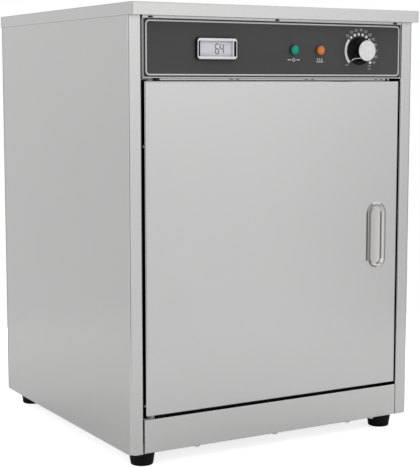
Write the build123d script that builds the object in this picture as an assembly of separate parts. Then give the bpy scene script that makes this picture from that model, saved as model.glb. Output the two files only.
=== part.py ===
from build123d import *
import os

# A countertop heated holding cabinet: folded stainless body, cap, console, and one side-hung door.
# Sizes are in millimetres. X runs right, Z runs up from the floor, and Y runs back from the front
# face of the posts. write_parts moves Y so that the origin lies under the middle of the cabinet.

# Overall
CAP_W = 450.0
CAP_D = 450.0
CAP_H = 16.0
TOTAL_H = 600.0
FRONT_OVERHANG = 13.0
REAR_OVERHANG = 3.0
CAP_BEND = 1.0
CAP_LIP_GAP = 1.2

# Sheet work
SHEET = 0.8
FIT = 0.2
SNUG = 0.05
SOFT_GAP = 0.3
HOLE_PLAY = 0.15
POST_W = 19.0
POST_BEND = 2.4
POST_SNIP_W = 6.0
POST_SNIP_H = 1.8
FOLD_BEND = 1.6
BACK_FLANGE_W = 15.0
SIDE_FLANGE_W = 50.0
PAN_RIM_H = 12.0

# Feet
FOOT_H = 20.0
FOOT_TOP_R = 17.8
FOOT_BOTTOM_R = 14.9
FOOT_EDGE_R = 1.2
FOOT_SIDE_INSET = 29.0
FOOT_FRONT_INSET = 26.0
FOOT_REAR_INSET = 28.0
FOOT_SCREW_R = 2.5
FOOT_SCREW_HEAD_R = 4.5
FOOT_SCREW_HEAD_H = 3.3
FOOT_COUNTERBORE_R = 6.0
FOOT_COUNTERBORE_DEPTH = 10.0
FOOT_NUT_AF = 8.0
FOOT_NUT_H = 4.0

# Plinth and console
PLINTH_H = 45.0
PLINTH_SEAM = 1.2
PLINTH_FLANGE = 8.0
CONSOLE_H = 78.4
CONSOLE_SEAM = 0.8
CONSOLE_PROUD = 0.9
CONSOLE_TOP_FLANGE = 22.0
LABEL_T = 0.5
LABEL_SIDE_EDGE = 2.0
LABEL_LOWER_EDGE = 1.7
LABEL_UPPER_EDGE = 3.4
LABEL_CORNER_R = 1.5
RELIEF_W = 7.0
RELIEF_H = 2.2
RELIEF_INSET = 8.0
RELIEF_DROP = 1.7
RAIL_END_GAP = 26.0
RAIL_SETBACK = 1.5
RAIL_DROP = 2.4
RAIL_DEPTH = 19.0

# Door
DOOR_T = 22.0
DOOR_PROUD = 1.0
DOOR_BEND = 2.0
DOOR_SIDE_GAP = 3.5
DOOR_BOTTOM_GAP = 4.2
DOOR_TOP_GAP = 3.4
GASKET_INSET = 7.0
GASKET_W = 8.0
GASKET_T = 4.0
GASKET_CORNER_R = 10.0
FIELD_INSET = 24.0
FIELD_RAISE = 2.0
DOOR_RIVET_R = 1.8
DOOR_RIVET_H = 1.2
DOOR_RIVET_DEPTH = 4.0
DOOR_RIVET_LOW = 14.0
DOOR_RIVET_HIGH = 350.0

# Flush pull
PULL_W = 34.0
PULL_H = 97.0
PULL_EDGE_INSET = 36.8
PULL_DROP = 1.3
PULL_RIM = 2.2
PULL_PROUD = 1.6
PULL_ROLL_R = 1.4
PULL_DEPTH = 7.5
PULL_DRAFT = 30.0
PULL_FLOOR_R = 5.0

# Hinge
PIVOT_SIDE_INSET = 10.0
PIVOT_DEPTH = 8.0
PIN_R = 2.5
PIN_REACH = 12.0
RUN_PLAY = 0.05
BUSH_WALL = 1.5
BUSH_COLLAR_R = 5.2
BRACKET_T = 1.5
BRACKET_W = 18.0
BRACKET_D = 18.0
BRACKET_CORNER_R = 3.0
BRACKET_PLAY = 0.3

# Magnetic catch
CATCH_W = 6.0
CATCH_H = 60.0
CATCH_EDGE_INSET = 0.5
STRIKE_T = 0.9

# Chamber
JAMB_LAND = 15.0
CHAMBER_TOP_DROP = 19.6
REAR_SPACE = 30.7
SILL_H = 23.0
FRAME_UPSTAND = 26.0
FRAME_DOWNSTAND = 28.0
LEDGE_W = 12.0
LEDGE_H = 14.0
LEDGE_T = 1.2
LEDGE_END_GAP = 8.0
SHELF_HEIGHTS = (137.0, 267.0)
SHELF_SIDE_PLAY = 3.0
SHELF_END_PLAY = 8.0
SHELF_FRAME_R = 3.0
SHELF_WIRE_R = 1.5
SHELF_WIRE_PITCH = 24.0
SHELF_CORNER_R = 14.0
WELD_SINK = 0.4

# Heating element and guard
ELEMENT_R = 4.0
ELEMENT_LIFT = 14.0
ELEMENT_HALF_W = 140.0
ELEMENT_BEND_R = 30.0
ELEMENT_FRONT_GAP = 45.0
ELEMENT_REAR_GAP = 34.0
ELEMENT_TAIL = 22.0
TERMINAL_R = 1.6
TERMINAL_L = 5.0
SUPPORT_W = 14.0
SUPPORT_D = 8.0
GUARD_H = 32.0
GUARD_SIDE_GAP = 4.0
GUARD_END_GAP = 8.0
GUARD_SLOT_W = 8.0
GUARD_SLOT_L = 60.0
GUARD_SLOT_PITCH_X = 84.0
GUARD_SLOT_PITCH_Y = 30.0

# Thermometer
METER_EDGE_INSET = 104.2
METER_DROP = 40.5
METER_W = 60.2
METER_H = 28.0
METER_PROUD = 5.0
METER_CORNER_R = 4.5
METER_FRAME = 4.0
METER_SIDE_FRAME = 3.2
METER_END_BAR = 1.2
METER_END_SLOT = 1.8
METER_WINDOW_SINK = 2.1
METER_BAR_SINK = 1.05
METER_OPENING_R = 1.0
METER_WINDOW_T = 1.0
METER_CASE_W = 54.0
METER_CASE_H = 22.0
METER_CASE_D = 14.0
METER_CASE_EDGE_R = 1.5
METER_FACE_T = 0.8

# Pilot lamps
LAMP_XS = (22.7, 64.9)
LAMP_DROP = 40.5
LAMP_R = 7.0
LAMP_FLANGE_T = 1.2
LAMP_DOME_H = 4.0
LAMP_BARREL_R = 4.6
LAMP_BARREL_L = 17.0
LAMP_TAG_W = 3.0
LAMP_TAG_T = 0.8
LAMP_TAG_L = 7.0

# Knob and thermostat
KNOB_EDGE_INSET = 71.3
KNOB_DROP = 40.5
KNOB_SKIRT_R = 19.2
KNOB_WAIST_R = 15.8
KNOB_FRONT_R = 15.0
KNOB_H = 17.8
KNOB_WAIST_RISE = 6.0
KNOB_GAP = 0.5
KNOB_SKIRT_T = 1.6
KNOB_HOLLOW_R = 12.5
KNOB_HOLLOW_DEPTH = 5.0
KNOB_CAP_R = 14.5
KNOB_CAP_T = 1.4
KNOB_CAP_SEAT = 0.6
POINTER_W = 1.3
POINTER_RAISE = 0.25
POINTER_ANGLE = 224.0
SHAFT_R = 3.0
SHAFT_FLAT = 1.2
SHAFT_IN_KNOB = 10.0
BUSH_R = 5.0
BUSH_L = 5.3
NUT_AF = 14.0
NUT_T = 2.6
THERMOSTAT_W = 34.0
THERMOSTAT_H = 30.0
THERMOSTAT_D = 18.0
THERMOSTAT_CORNER_R = 3.0
BULB_R = 3.0
BULB_L = 96.0
BULB_DROP = 12.0
BULB_SETBACK = 66.0
CLIP_INSET = 24.0
CAPILLARY_R = 1.0
CAPILLARY_OFFSET = 9.1
CAPILLARY_RISE_Y = 62.0
CAPILLARY_BEND_R = 9.0
CLIP_W = 8.0
CLIP_T = 1.0

# Supply side, at the back
GLAND_EDGE_INSET = 74.0
GLAND_Z = 46.0
GLAND_BORE_R = 4.2
GLAND_THREAD_R = 8.0
GLAND_THREAD_L = 9.0
GLAND_AF = 20.0
GLAND_FLANGE_T = 4.0
GLAND_DOME_R = 9.2
GLAND_DOME_L = 8.0
LOCKNUT_T = 4.0
BLOCK_W = 20.0
BLOCK_L = 48.0
BLOCK_H = 22.0
BLOCK_WAYS = 3
BLOCK_BARRIER = 4.0
BLOCK_STEP_H = 8.0
BLOCK_STEP_D = 7.0
BLOCK_REAR_GAP = 60.0
LOUVRE_L = 110.0
LOUVRE_H = 8.0
LOUVRE_RISE = 3.6
LOUVRE_PITCH = 13.0
LOUVRE_ROWS = 4
LOUVRE_XS = (-85.0, 85.0)
LOUVRE_TOP_GAP = 22.0

# Panel screws, M4 with pan heads
SCREW_R = 2.0
SCREW_HEAD_R = 3.6
SCREW_HEAD_H = 2.2
SCREW_L = 7.0
BACK_SCREW_RISE = 40.0
BACK_SCREW_DROP = 24.0
BACK_SCREW_ROWS = 4
BASE_SCREW_XS = (-123.0, 0.0, 123.0, 165.0)
BASE_SCREW_INSET = 5.0

# Planes that several pieces share
body_half = CAP_W / 2 - SHEET - FIT
body_back = CAP_D - FRONT_OVERHANG - REAR_OVERHANG
cap_back = body_back + REAR_OVERHANG
cap_bottom = TOTAL_H - CAP_H
panel_top = TOTAL_H - SHEET
post_inner = body_half - POST_W
plinth_top = FOOT_H + PLINTH_H
door_bottom = plinth_top + DOOR_BOTTOM_GAP
console_bottom = cap_bottom - CONSOLE_H
door_top = console_bottom - DOOR_TOP_GAP
door_h = door_top - door_bottom
door_half = post_inner - DOOR_SIDE_GAP
door_front = -DOOR_PROUD
door_back = door_front + DOOR_T
console_front = -CONSOLE_PROUD
label_front = console_front - LABEL_T
label_half = post_inner - CONSOLE_SEAM - LABEL_SIDE_EDGE
label_bottom = console_bottom + LABEL_LOWER_EDGE
label_top = cap_bottom - LABEL_UPPER_EDGE
meter_x = -label_half + METER_EDGE_INSET
meter_z = cap_bottom - METER_DROP
meter_window_w = METER_W - 2 * (METER_SIDE_FRAME + METER_END_SLOT + METER_END_BAR + FIT)
frame_front = door_back + GASKET_T + SOFT_GAP
chamber_half = post_inner - JAMB_LAND
chamber_bottom = plinth_top + SILL_H
chamber_top = console_bottom - CHAMBER_TOP_DROP
chamber_back = body_back - REAR_SPACE
chamber_middle = (frame_front + chamber_back) / 2
frame_bottom = chamber_bottom - FRAME_DOWNSTAND
frame_top = chamber_top + FRAME_UPSTAND
pan_floor = FOOT_H + SHEET
back_panel_back = body_back + SHEET
pivot_x = -door_half + PIVOT_SIDE_INSET
pivot_y = door_front + PIVOT_DEPTH
pull_x = door_half - PULL_EDGE_INSET
pull_z = (door_bottom + door_top) / 2 - PULL_DROP
ledge_tops = tuple(chamber_bottom + height for height in SHELF_HEIGHTS)
element_z = chamber_bottom + ELEMENT_LIFT
shelf_front = frame_front + SHELF_END_PLAY + SHELF_FRAME_R
shelf_back = chamber_back - SHELF_END_PLAY - SHELF_FRAME_R
bulb_start = frame_front + BULB_SETBACK
bulb_z = chamber_top - BULB_DROP
lamp_z = cap_bottom - LAMP_DROP
knob_x = label_half - KNOB_EDGE_INSET
knob_z = cap_bottom - KNOB_DROP
capillary_x = knob_x + CAPILLARY_OFFSET
knob_back = label_front - KNOB_GAP
knob_front = knob_back - KNOB_H - (KNOB_CAP_T - KNOB_CAP_SEAT)
gland_x = body_half - GLAND_EDGE_INSET
gland_back = back_panel_back + GLAND_FLANGE_T + GLAND_DOME_L
y_middle = (knob_front + gland_back) / 2

FOOT_PLACES = {
    "foot_front_left": (-body_half + FOOT_SIDE_INSET, FOOT_FRONT_INSET),
    "foot_front_right": (body_half - FOOT_SIDE_INSET, FOOT_FRONT_INSET),
    "foot_rear_left": (-body_half + FOOT_SIDE_INSET, body_back - FOOT_REAR_INSET),
    "foot_rear_right": (body_half - FOOT_SIDE_INSET, body_back - FOOT_REAR_INSET),
}


def block(x0, x1, y0, y1, z0, z1):
    """A rectangular block between two corners."""
    return Pos((x0 + x1) / 2, (y0 + y1) / 2, (z0 + z1) / 2) * Box(x1 - x0, y1 - y0, z1 - z0)


def rod(radius, start, end):
    """A round bar between two points."""
    a, b = Vector(*start), Vector(*end)
    plane = Plane(origin=a, z_dir=b - a)
    return extrude(plane * Circle(radius), amount=(b - a).length)


def facing_front(x, y, z):
    """A sketch plane seen from the front: its normal points at the viewer."""
    return Plane(origin=(x, y, z), x_dir=(1, 0, 0), z_dir=(0, -1, 0))


def facing_back(x, y, z):
    """A sketch plane whose normal runs back into the cabinet."""
    return Plane(origin=(x, y, z), x_dir=(-1, 0, 0), z_dir=(0, 1, 0))


def folded_upright(points, z0, z1, bend=FOLD_BEND):
    """Sheet bent along a plan outline, given by its mid line, standing from z0 to z1."""
    strip = trace(FilletPolyline(*points, radius=bend - SHEET / 2), line_width=SHEET)
    return extrude(Plane.XY.offset(z0) * strip, amount=z1 - z0)


def folded_across(points, x0, x1, bend=FOLD_BEND):
    """Sheet bent along a side view, points as (y, z) of its mid line, running from x0 to x1."""
    strip = trace(FilletPolyline(*points, radius=bend - SHEET / 2), line_width=SHEET)
    side_view = Plane(origin=(x0, 0, 0), x_dir=(0, 1, 0), z_dir=(1, 0, 0))
    return extrude(side_view * strip, amount=x1 - x0)


def hexagon(across_flats, height):
    """A hexagonal prism standing on the origin."""
    return extrude(RegularPolygon(across_flats / 2, 6, major_radius=False), amount=height)


def mirror_x(solid):
    """The same piece on the other side of the cabinet."""
    return mirror(solid, about=Plane.YZ)


def fuse(pieces):
    """One solid out of overlapping ones."""
    return pieces[0].fuse(*pieces[1:]).clean()


def side_panel_left():
    """Side wall folded round into the front post, the door jamb, the back and the bottom flange."""
    mid = SHEET / 2
    wall = folded_upright(
        [
            (-body_half + BACK_FLANGE_W, body_back - mid),
            (-body_half + mid, body_back - mid),
            (-body_half + mid, mid),
            (-post_inner - mid, mid),
            (-post_inner - mid, frame_front),
        ],
        FOOT_H,
        panel_top,
        POST_BEND,
    )
    flange = block(
        -body_half + mid,
        -body_half + SIDE_FLANGE_W,
        PLINTH_FLANGE + FIT,
        body_back - mid,
        FOOT_H,
        FOOT_H + SHEET,
    )
    panel = fuse([wall, flange])
    for x, y in FOOT_PLACES.values():
        if x < 0:
            panel -= rod(FOOT_SCREW_R + HOLE_PLAY, (x, y, FOOT_H - 1), (x, y, FOOT_H + 2 * SHEET))
    for x, z in back_screw_places():
        if x < 0:
            panel -= rod(SCREW_R + SNUG, (x, body_back - 2 * SHEET, z), (x, body_back + SHEET, z))
    corner = Polyline(
        (-body_half, FOOT_H), (-body_half, FOOT_H + POST_SNIP_H), (-body_half + POST_SNIP_W, FOOT_H), close=True
    )
    return panel - extrude(facing_front(0, POST_BEND, 0) * make_face(corner), amount=POST_BEND + 1)


def top_cap():
    """Pan-shaped cap with bent edges and a lip under its front overhang."""
    half = CAP_W / 2
    front = -FRONT_OVERHANG
    outer = block(-half, half, front, cap_back, cap_bottom, TOTAL_H)
    outer = fillet(outer.edges().filter_by(Axis.Z) + outer.edges().group_by(Axis.Z)[-1], CAP_BEND)
    inner = block(
        -half + SHEET, half - SHEET, front + SHEET, cap_back - SHEET, cap_bottom - 1, panel_top
    )
    inner = fillet(
        inner.edges().filter_by(Axis.Z) + inner.edges().group_by(Axis.Z)[-1], CAP_BEND - SHEET
    )
    lip = block(
        -half + SHEET / 2,
        half - SHEET / 2,
        front + SHEET / 2,
        label_front - CAP_LIP_GAP,
        cap_bottom,
        cap_bottom + SHEET,
    )
    return fuse([outer - inner, lip])


def base_pan():
    """Floor sheet with an upturned rim, narrowed at the front to pass between the posts."""
    front = FOLD_BEND + FIT
    shoulder = frame_front + SHEET
    back = body_back - POST_BEND
    wide = body_half - SHEET - FIT
    narrow = post_inner - FIT

    def outline(inset):
        """The pan's plan, drawn in by an inset all round."""
        tongue = Rectangle(2 * (narrow - inset), shoulder + POST_W - front - inset, align=Align.MIN)
        tongue = Pos(-narrow + inset, front + inset) * tongue
        field = Rectangle(2 * (wide - inset), back - shoulder - 2 * inset, align=Align.MIN)
        return Pos(-wide + inset, shoulder + inset) * field + tongue

    pan = extrude(Plane.XY.offset(pan_floor) * outline(0), amount=PAN_RIM_H)
    pan -= extrude(Plane.XY.offset(pan_floor + SHEET) * outline(SHEET), amount=PAN_RIM_H)
    for x, y in FOOT_PLACES.values():
        pan -= rod(FOOT_SCREW_R + HOLE_PLAY, (x, y, FOOT_H), (x, y, pan_floor + 2 * SHEET))
    for x in BASE_SCREW_XS:
        y = BASE_SCREW_INSET
        pan -= rod(SCREW_R + SNUG, (x, y, FOOT_H), (x, y, pan_floor + 2 * SHEET))
    return pan


def plinth_panel():
    """Front panel below the door, with a sill folded back over it and a flange under it."""
    mid = SHEET / 2
    half = post_inner - PLINTH_SEAM
    panel = folded_across(
        [
            (PLINTH_FLANGE, FOOT_H + mid),
            (mid, FOOT_H + mid),
            (mid, plinth_top - mid),
            (frame_front, plinth_top - mid),
        ],
        -half,
        half,
    )
    for x in BASE_SCREW_XS:
        panel -= rod(
            SCREW_R + HOLE_PLAY, (x, BASE_SCREW_INSET, FOOT_H - 1), (x, BASE_SCREW_INSET, pan_floor)
        )
    return panel - pivot_rod(PIN_R + SNUG, plinth_top - 2 * SHEET, plinth_top + SHEET)


def pivot_rod(radius, z0, z1):
    """A round bar on the door's pivot line."""
    return rod(radius, (pivot_x, pivot_y, z0), (pivot_x, pivot_y, z1))


def louvre(x, z):
    """One pressed louvre: a half-drop hood over a slot, solid and hollow shapes."""
    side = Plane(origin=(x - LOUVRE_L / 2, back_panel_back, z), x_dir=(0, 1, 0), z_dir=(1, 0, 0))

    def hood(rise, height):
        """Side view of the hood, straight below and curved above."""
        outline = Polyline((0, 0), (rise, 0)) + Spline(
            (rise, 0), (0, height), tangents=[(0, 1), (-1, 0.25)]
        )
        return make_face(outline + Line((0, height), (0, 0)))

    shell = extrude(side * hood(LOUVRE_RISE, LOUVRE_H), amount=LOUVRE_L)
    inner = hood(LOUVRE_RISE - SHEET, LOUVRE_H - SHEET)
    hollow = extrude(side.offset(SHEET) * inner, amount=LOUVRE_L - 2 * SHEET)
    mouth = block(
        x - LOUVRE_L / 2 + SHEET,
        x + LOUVRE_L / 2 - SHEET,
        body_back - SHEET,
        back_panel_back + LOUVRE_RISE - SHEET,
        z - SHEET,
        z + SHEET,
    )
    slot = block(
        x - LOUVRE_L / 2 + SHEET,
        x + LOUVRE_L / 2 - SHEET,
        body_back - SHEET,
        back_panel_back,
        z,
        z + LOUVRE_H / 2,
    )
    return shell, hollow + mouth + slot


def back_panel():
    """Screwed-on back with two columns of pressed louvres behind the controls."""
    half = body_half - FIT
    top = cap_bottom + CAP_H / 2
    panel = block(-half, half, body_back, back_panel_back, FOOT_H + FIT, top)
    for x in LOUVRE_XS:
        for row in range(LOUVRE_ROWS):
            z = cap_bottom - LOUVRE_TOP_GAP - row * LOUVRE_PITCH
            shell, hollow = louvre(x, z)
            panel = panel + shell - hollow
    for x, z in back_screw_places():
        panel -= rod(SCREW_R + HOLE_PLAY, (x, body_back - 1, z), (x, back_panel_back + 1, z))
    reach = (gland_x, body_back - 1, GLAND_Z), (gland_x, back_panel_back + 1, GLAND_Z)
    return panel - rod(GLAND_THREAD_R + HOLE_PLAY, *reach)


def back_screw_places():
    """Centres of the back panel's screws, as (x, z)."""
    x = body_half - BACK_FLANGE_W / 2
    low, high = FOOT_H + BACK_SCREW_RISE, cap_bottom - BACK_SCREW_DROP
    pitch = (high - low) / (BACK_SCREW_ROWS - 1)
    return [(side * x, low + row * pitch) for row in range(BACK_SCREW_ROWS) for side in (-1, 1)]


def pan_screw(reach):
    """A pan-head screw: its head stands on +Z above the origin and its shank hangs below."""
    head = Cylinder(SCREW_HEAD_R, SCREW_HEAD_H, align=(Align.CENTER, Align.CENTER, Align.MIN))
    head = fillet(head.edges().group_by(Axis.Z)[-1], SCREW_HEAD_H / 2)
    shank = Cylinder(SCREW_R, reach, align=(Align.CENTER, Align.CENTER, Align.MAX))
    return head.fuse(shank).clean()


def panel_screws():
    """The twelve alike screws of the back panel and the base."""
    screw = pan_screw(SCREW_L)
    back = [
        Plane(origin=(x, back_panel_back, z), x_dir=(-1, 0, 0), z_dir=(0, 1, 0)) * screw
        for x, z in back_screw_places()
    ]
    under = [
        Plane(origin=(x, BASE_SCREW_INSET, FOOT_H), x_dir=(1, 0, 0), z_dir=(0, 0, -1)) * screw
        for x in BASE_SCREW_XS
    ]
    return Compound(children=back + under)


def console_cutouts(play):
    """What passes through the console and its label, grown by a play."""
    front, back = label_front - 1, SHEET + 1
    case = block(
        meter_x - METER_CASE_W / 2 - play,
        meter_x + METER_CASE_W / 2 + play,
        front,
        back,
        meter_z - METER_CASE_H / 2 - play,
        meter_z + METER_CASE_H / 2 + play,
    )
    barrels = [rod(LAMP_BARREL_R + play, (x, front, lamp_z), (x, back, lamp_z)) for x in LAMP_XS]
    bush = rod(BUSH_R + play, (knob_x, front, knob_z), (knob_x, back, knob_z))
    return [case, bush] + barrels


def console_panel():
    """Control panel between the posts, folded back above and below."""
    mid = SHEET / 2
    half = post_inner - CONSOLE_SEAM
    panel = folded_across(
        [
            (frame_front, console_bottom + mid),
            (console_front + mid, console_bottom + mid),
            (console_front + mid, panel_top - mid),
            (CONSOLE_TOP_FLANGE, panel_top - mid),
        ],
        -half,
        half,
    )
    for cutter in console_cutouts(HOLE_PLAY):
        panel -= cutter
    end_relief = half - RELIEF_INSET - RELIEF_W / 2
    for x in (-end_relief, -RELIEF_W / 2, end_relief):
        face = facing_front(x, SHEET, cap_bottom - RELIEF_DROP)
        panel -= extrude(face * SlotOverall(RELIEF_W, RELIEF_H), amount=3 * SHEET)
    return panel


def console_label():
    """The dark printed plate on the console."""
    width, height = 2 * label_half, label_top - label_bottom
    face = facing_front(0, console_front, (label_top + label_bottom) / 2)
    plate = extrude(face * RectangleRounded(width, height, LABEL_CORNER_R), amount=LABEL_T)
    for cutter in console_cutouts(HOLE_PLAY):
        plate -= cutter
    return plate


def front_top_rail():
    """Angle strip under the console's lower fold; its front lip shows in the gap above the door."""
    half, top = post_inner - RAIL_END_GAP, console_bottom
    leg = block(-half, half, RAIL_SETBACK, RAIL_SETBACK + RAIL_DEPTH, top - SHEET, top)
    lip = block(-half, half, RAIL_SETBACK, RAIL_SETBACK + SHEET, top - RAIL_DROP, top)
    return fuse([leg, lip])


def liner_left():
    """Chamber wall with a front flange that the door's gasket meets."""
    mid = SHEET / 2
    return folded_upright(
        [
            (-post_inner - SHEET, frame_front + mid),
            (-chamber_half - mid, frame_front + mid),
            (-chamber_half - mid, chamber_back),
        ],
        frame_bottom,
        frame_top,
    )


def liner_top():
    """Chamber ceiling with its front flange turned up, holed for the capillary tube."""
    mid = SHEET / 2
    sheet = folded_across(
        [
            (frame_front + mid, frame_top),
            (frame_front + mid, chamber_top + mid),
            (chamber_back, chamber_top + mid),
        ],
        -chamber_half,
        chamber_half,
    )
    return sheet - capillary_shaft(CAPILLARY_R + FIT)


def liner_floor():
    """Chamber floor with its front flange turned down behind the sill."""
    mid = SHEET / 2
    return folded_across(
        [
            (frame_front + mid, frame_bottom),
            (frame_front + mid, chamber_bottom - mid),
            (chamber_back, chamber_bottom - mid),
        ],
        -chamber_half,
        chamber_half,
    )


def liner_back():
    """Chamber back wall, holed for the element's two tails."""
    half = chamber_half + SHEET
    sheet = block(-half, half, chamber_back, chamber_back + SHEET, frame_bottom, frame_top)
    return sheet - element_tails(ELEMENT_R + HOLE_PLAY)


def element_tails(radius):
    """The straight runs of the element through the chamber's back wall."""
    start, end = chamber_back - 1, body_back - SHEET
    return [
        rod(radius, (x, start, element_z), (x, end, element_z))
        for x in (-ELEMENT_HALF_W, ELEMENT_HALF_W)
    ]


def capillary_shaft(radius):
    """The upright way of the capillary tube through the chamber's ceiling."""
    x, y = capillary_x, CAPILLARY_RISE_Y
    return rod(radius, (x, y, bulb_z), (x, y, frame_top + SHEET))


def insulation_sides():
    """Mineral wool slabs between the chamber walls and the side panels, one solid each."""
    slab = block(
        -body_half + SHEET + SOFT_GAP,
        -chamber_half - SHEET - SOFT_GAP,
        frame_front + SHEET + SOFT_GAP,
        chamber_back,
        frame_bottom + SOFT_GAP,
        frame_top - SOFT_GAP,
    )
    return Compound(children=[slab, mirror_x(slab)])


def insulation_flat(z0, z1):
    """Mineral wool slab above or below the chamber."""
    half = chamber_half - SOFT_GAP
    return block(-half, half, frame_front + SHEET + SOFT_GAP, chamber_back - SOFT_GAP, z0, z1)


def insulation_top():
    """Slab on the chamber's ceiling."""
    slab = insulation_flat(chamber_top + SHEET + SOFT_GAP, frame_top - SOFT_GAP)
    return slab - capillary_shaft(CAPILLARY_R + SOFT_GAP)


def insulation_floor():
    """Slab under the chamber's floor."""
    return insulation_flat(frame_bottom + SOFT_GAP, chamber_bottom - SHEET - SOFT_GAP)


def insulation_back():
    """Slab behind the chamber, holed for the element's tails."""
    half = chamber_half - SOFT_GAP
    slab = block(
        -half,
        half,
        chamber_back + SHEET + SOFT_GAP,
        body_back - SHEET - SOFT_GAP,
        frame_bottom + SOFT_GAP,
        frame_top - SOFT_GAP,
    )
    return slab - element_tails(ELEMENT_R + SOFT_GAP)


def shelf_ledges():
    """Two angle ledges on each chamber wall, one solid each."""
    front, back = frame_front + LEDGE_END_GAP, chamber_back - LEDGE_END_GAP
    wall = -chamber_half
    ledges = []
    for top in ledge_tops:
        tread = block(wall, wall + LEDGE_W, front, back, top - LEDGE_T, top)
        leg = block(wall, wall + LEDGE_T, front, back, top - LEDGE_H, top)
        ledge = fuse([tread, leg])
        ledges += [ledge, mirror_x(ledge)]
    return Compound(children=ledges)


def wire_shelf(ledge_top):
    """Chromed rack: a bent round frame with a row of thin wires welded across its top."""
    half = chamber_half - SHELF_SIDE_PLAY - SHELF_FRAME_R
    middle = (shelf_front + shelf_back) / 2
    level = ledge_top + SHELF_FRAME_R
    outline = RectangleRounded(2 * half, shelf_back - shelf_front, SHELF_CORNER_R)
    start = Plane(origin=(0, shelf_front, level), z_dir=(1, 0, 0))
    frame = sweep(start * Circle(SHELF_FRAME_R), path=(Pos(0, middle, level) * outline).wire())
    wire_level = level + SHELF_FRAME_R + SHELF_WIRE_R - WELD_SINK
    count = int(half / SHELF_WIRE_PITCH)
    wires = []
    for place in range(-count, count + 1):
        x = place * SHELF_WIRE_PITCH
        wires.append(rod(SHELF_WIRE_R, (x, shelf_front, wire_level), (x, shelf_back, wire_level)))
    brace_level = wire_level - 2 * SHELF_WIRE_R + WELD_SINK
    brace = rod(SHELF_WIRE_R, (-half, middle, brace_level), (half, middle, brace_level))
    return fuse([frame, brace] + wires)


def heating_element():
    """Sheathed tube bent in three loops over the chamber floor, with its cold tails at the back."""
    front = frame_front + ELEMENT_FRONT_GAP
    loop_back = chamber_back - ELEMENT_REAR_GAP
    tail = chamber_back + ELEMENT_TAIL
    third = ELEMENT_HALF_W / 3
    route = FilletPolyline(
        (-ELEMENT_HALF_W, tail, element_z),
        (-ELEMENT_HALF_W, front, element_z),
        (-third, front, element_z),
        (-third, loop_back, element_z),
        (third, loop_back, element_z),
        (third, front, element_z),
        (ELEMENT_HALF_W, front, element_z),
        (ELEMENT_HALF_W, tail, element_z),
        radius=ELEMENT_BEND_R,
    )
    start = Plane(origin=(-ELEMENT_HALF_W, tail, element_z), z_dir=(0, -1, 0))
    tube = sweep(start * Circle(ELEMENT_R), path=route)
    studs = [
        rod(TERMINAL_R, (x, tail - 1, element_z), (x, tail + TERMINAL_L, element_z))
        for x in (-ELEMENT_HALF_W, ELEMENT_HALF_W)
    ]
    return fuse([tube] + studs)


def element_supports():
    """Four saddles that carry the element's long runs clear of the floor."""
    third = ELEMENT_HALF_W / 3
    saddles = []
    for x in (-ELEMENT_HALF_W, -third, third, ELEMENT_HALF_W):
        post = block(
            x - SUPPORT_W / 2,
            x + SUPPORT_W / 2,
            chamber_middle - SUPPORT_D / 2,
            chamber_middle + SUPPORT_D / 2,
            chamber_bottom,
            element_z,
        )
        front, back = chamber_middle - SUPPORT_D, chamber_middle + SUPPORT_D
        saddles.append(post - rod(ELEMENT_R, (x, front, element_z), (x, back, element_z)))
    return Compound(children=saddles)


def element_guard():
    """Slotted cover over the element, folded down to the floor on both sides."""
    mid = SHEET / 2
    half = chamber_half - GUARD_SIDE_GAP
    front, back = frame_front + GUARD_END_GAP, chamber_back - GUARD_END_GAP
    top = chamber_bottom + GUARD_H
    strip = trace(
        FilletPolyline(
            (-half + mid, chamber_bottom),
            (-half + mid, top - mid),
            (half - mid, top - mid),
            (half - mid, chamber_bottom),
            radius=FOLD_BEND - mid,
        ),
        line_width=SHEET,
    )
    guard = extrude(facing_front(0, back, 0) * strip, amount=back - front)
    columns = int((half - GUARD_SLOT_L / 2) / GUARD_SLOT_PITCH_X)
    rows = int((back - front) / 2 / GUARD_SLOT_PITCH_Y - 0.5)
    slot = extrude(SlotOverall(GUARD_SLOT_L, GUARD_SLOT_W), amount=4 * SHEET)
    middle = (front + back) / 2
    slots = [
        Pos(column * GUARD_SLOT_PITCH_X, middle + row * GUARD_SLOT_PITCH_Y, top - 2 * SHEET) * slot
        for column in range(-columns, columns + 1)
        for row in range(-rows, rows + 1)
    ]
    return guard - slots


def foot():
    """Tapered rubber foot, counterbored from below for its screw."""
    outline = Polyline((0, 0), (FOOT_BOTTOM_R, 0), (FOOT_TOP_R, FOOT_H), (0, FOOT_H), close=True)
    body = revolve(Plane.XZ * make_face(outline), axis=Axis.Z)
    body = fillet(body.edges().filter_by(GeomType.CIRCLE).group_by(Axis.Z)[0], FOOT_EDGE_R)
    body -= rod(FOOT_SCREW_R + HOLE_PLAY, (0, 0, 0), (0, 0, FOOT_H + 1))
    return body - rod(FOOT_COUNTERBORE_R, (0, 0, -1), (0, 0, FOOT_COUNTERBORE_DEPTH))


def foot_screws():
    """Four screws with their heads up in the feet, and their nuts inside the base pan."""
    seat = FOOT_COUNTERBORE_DEPTH
    pan_top = pan_floor + SHEET
    nut = hexagon(FOOT_NUT_AF, FOOT_NUT_H) - Cylinder(FOOT_SCREW_R + SNUG, 3 * FOOT_NUT_H)
    fasteners = []
    for x, y in FOOT_PLACES.values():
        head = rod(FOOT_SCREW_HEAD_R, (x, y, seat - FOOT_SCREW_HEAD_H), (x, y, seat))
        shank = rod(FOOT_SCREW_R, (x, y, seat), (x, y, pan_top + FOOT_NUT_H + 1))
        fasteners += [fuse([head, shank]), Pos(x, y, pan_top) * nut]
    return Compound(children=fasteners)


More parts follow.
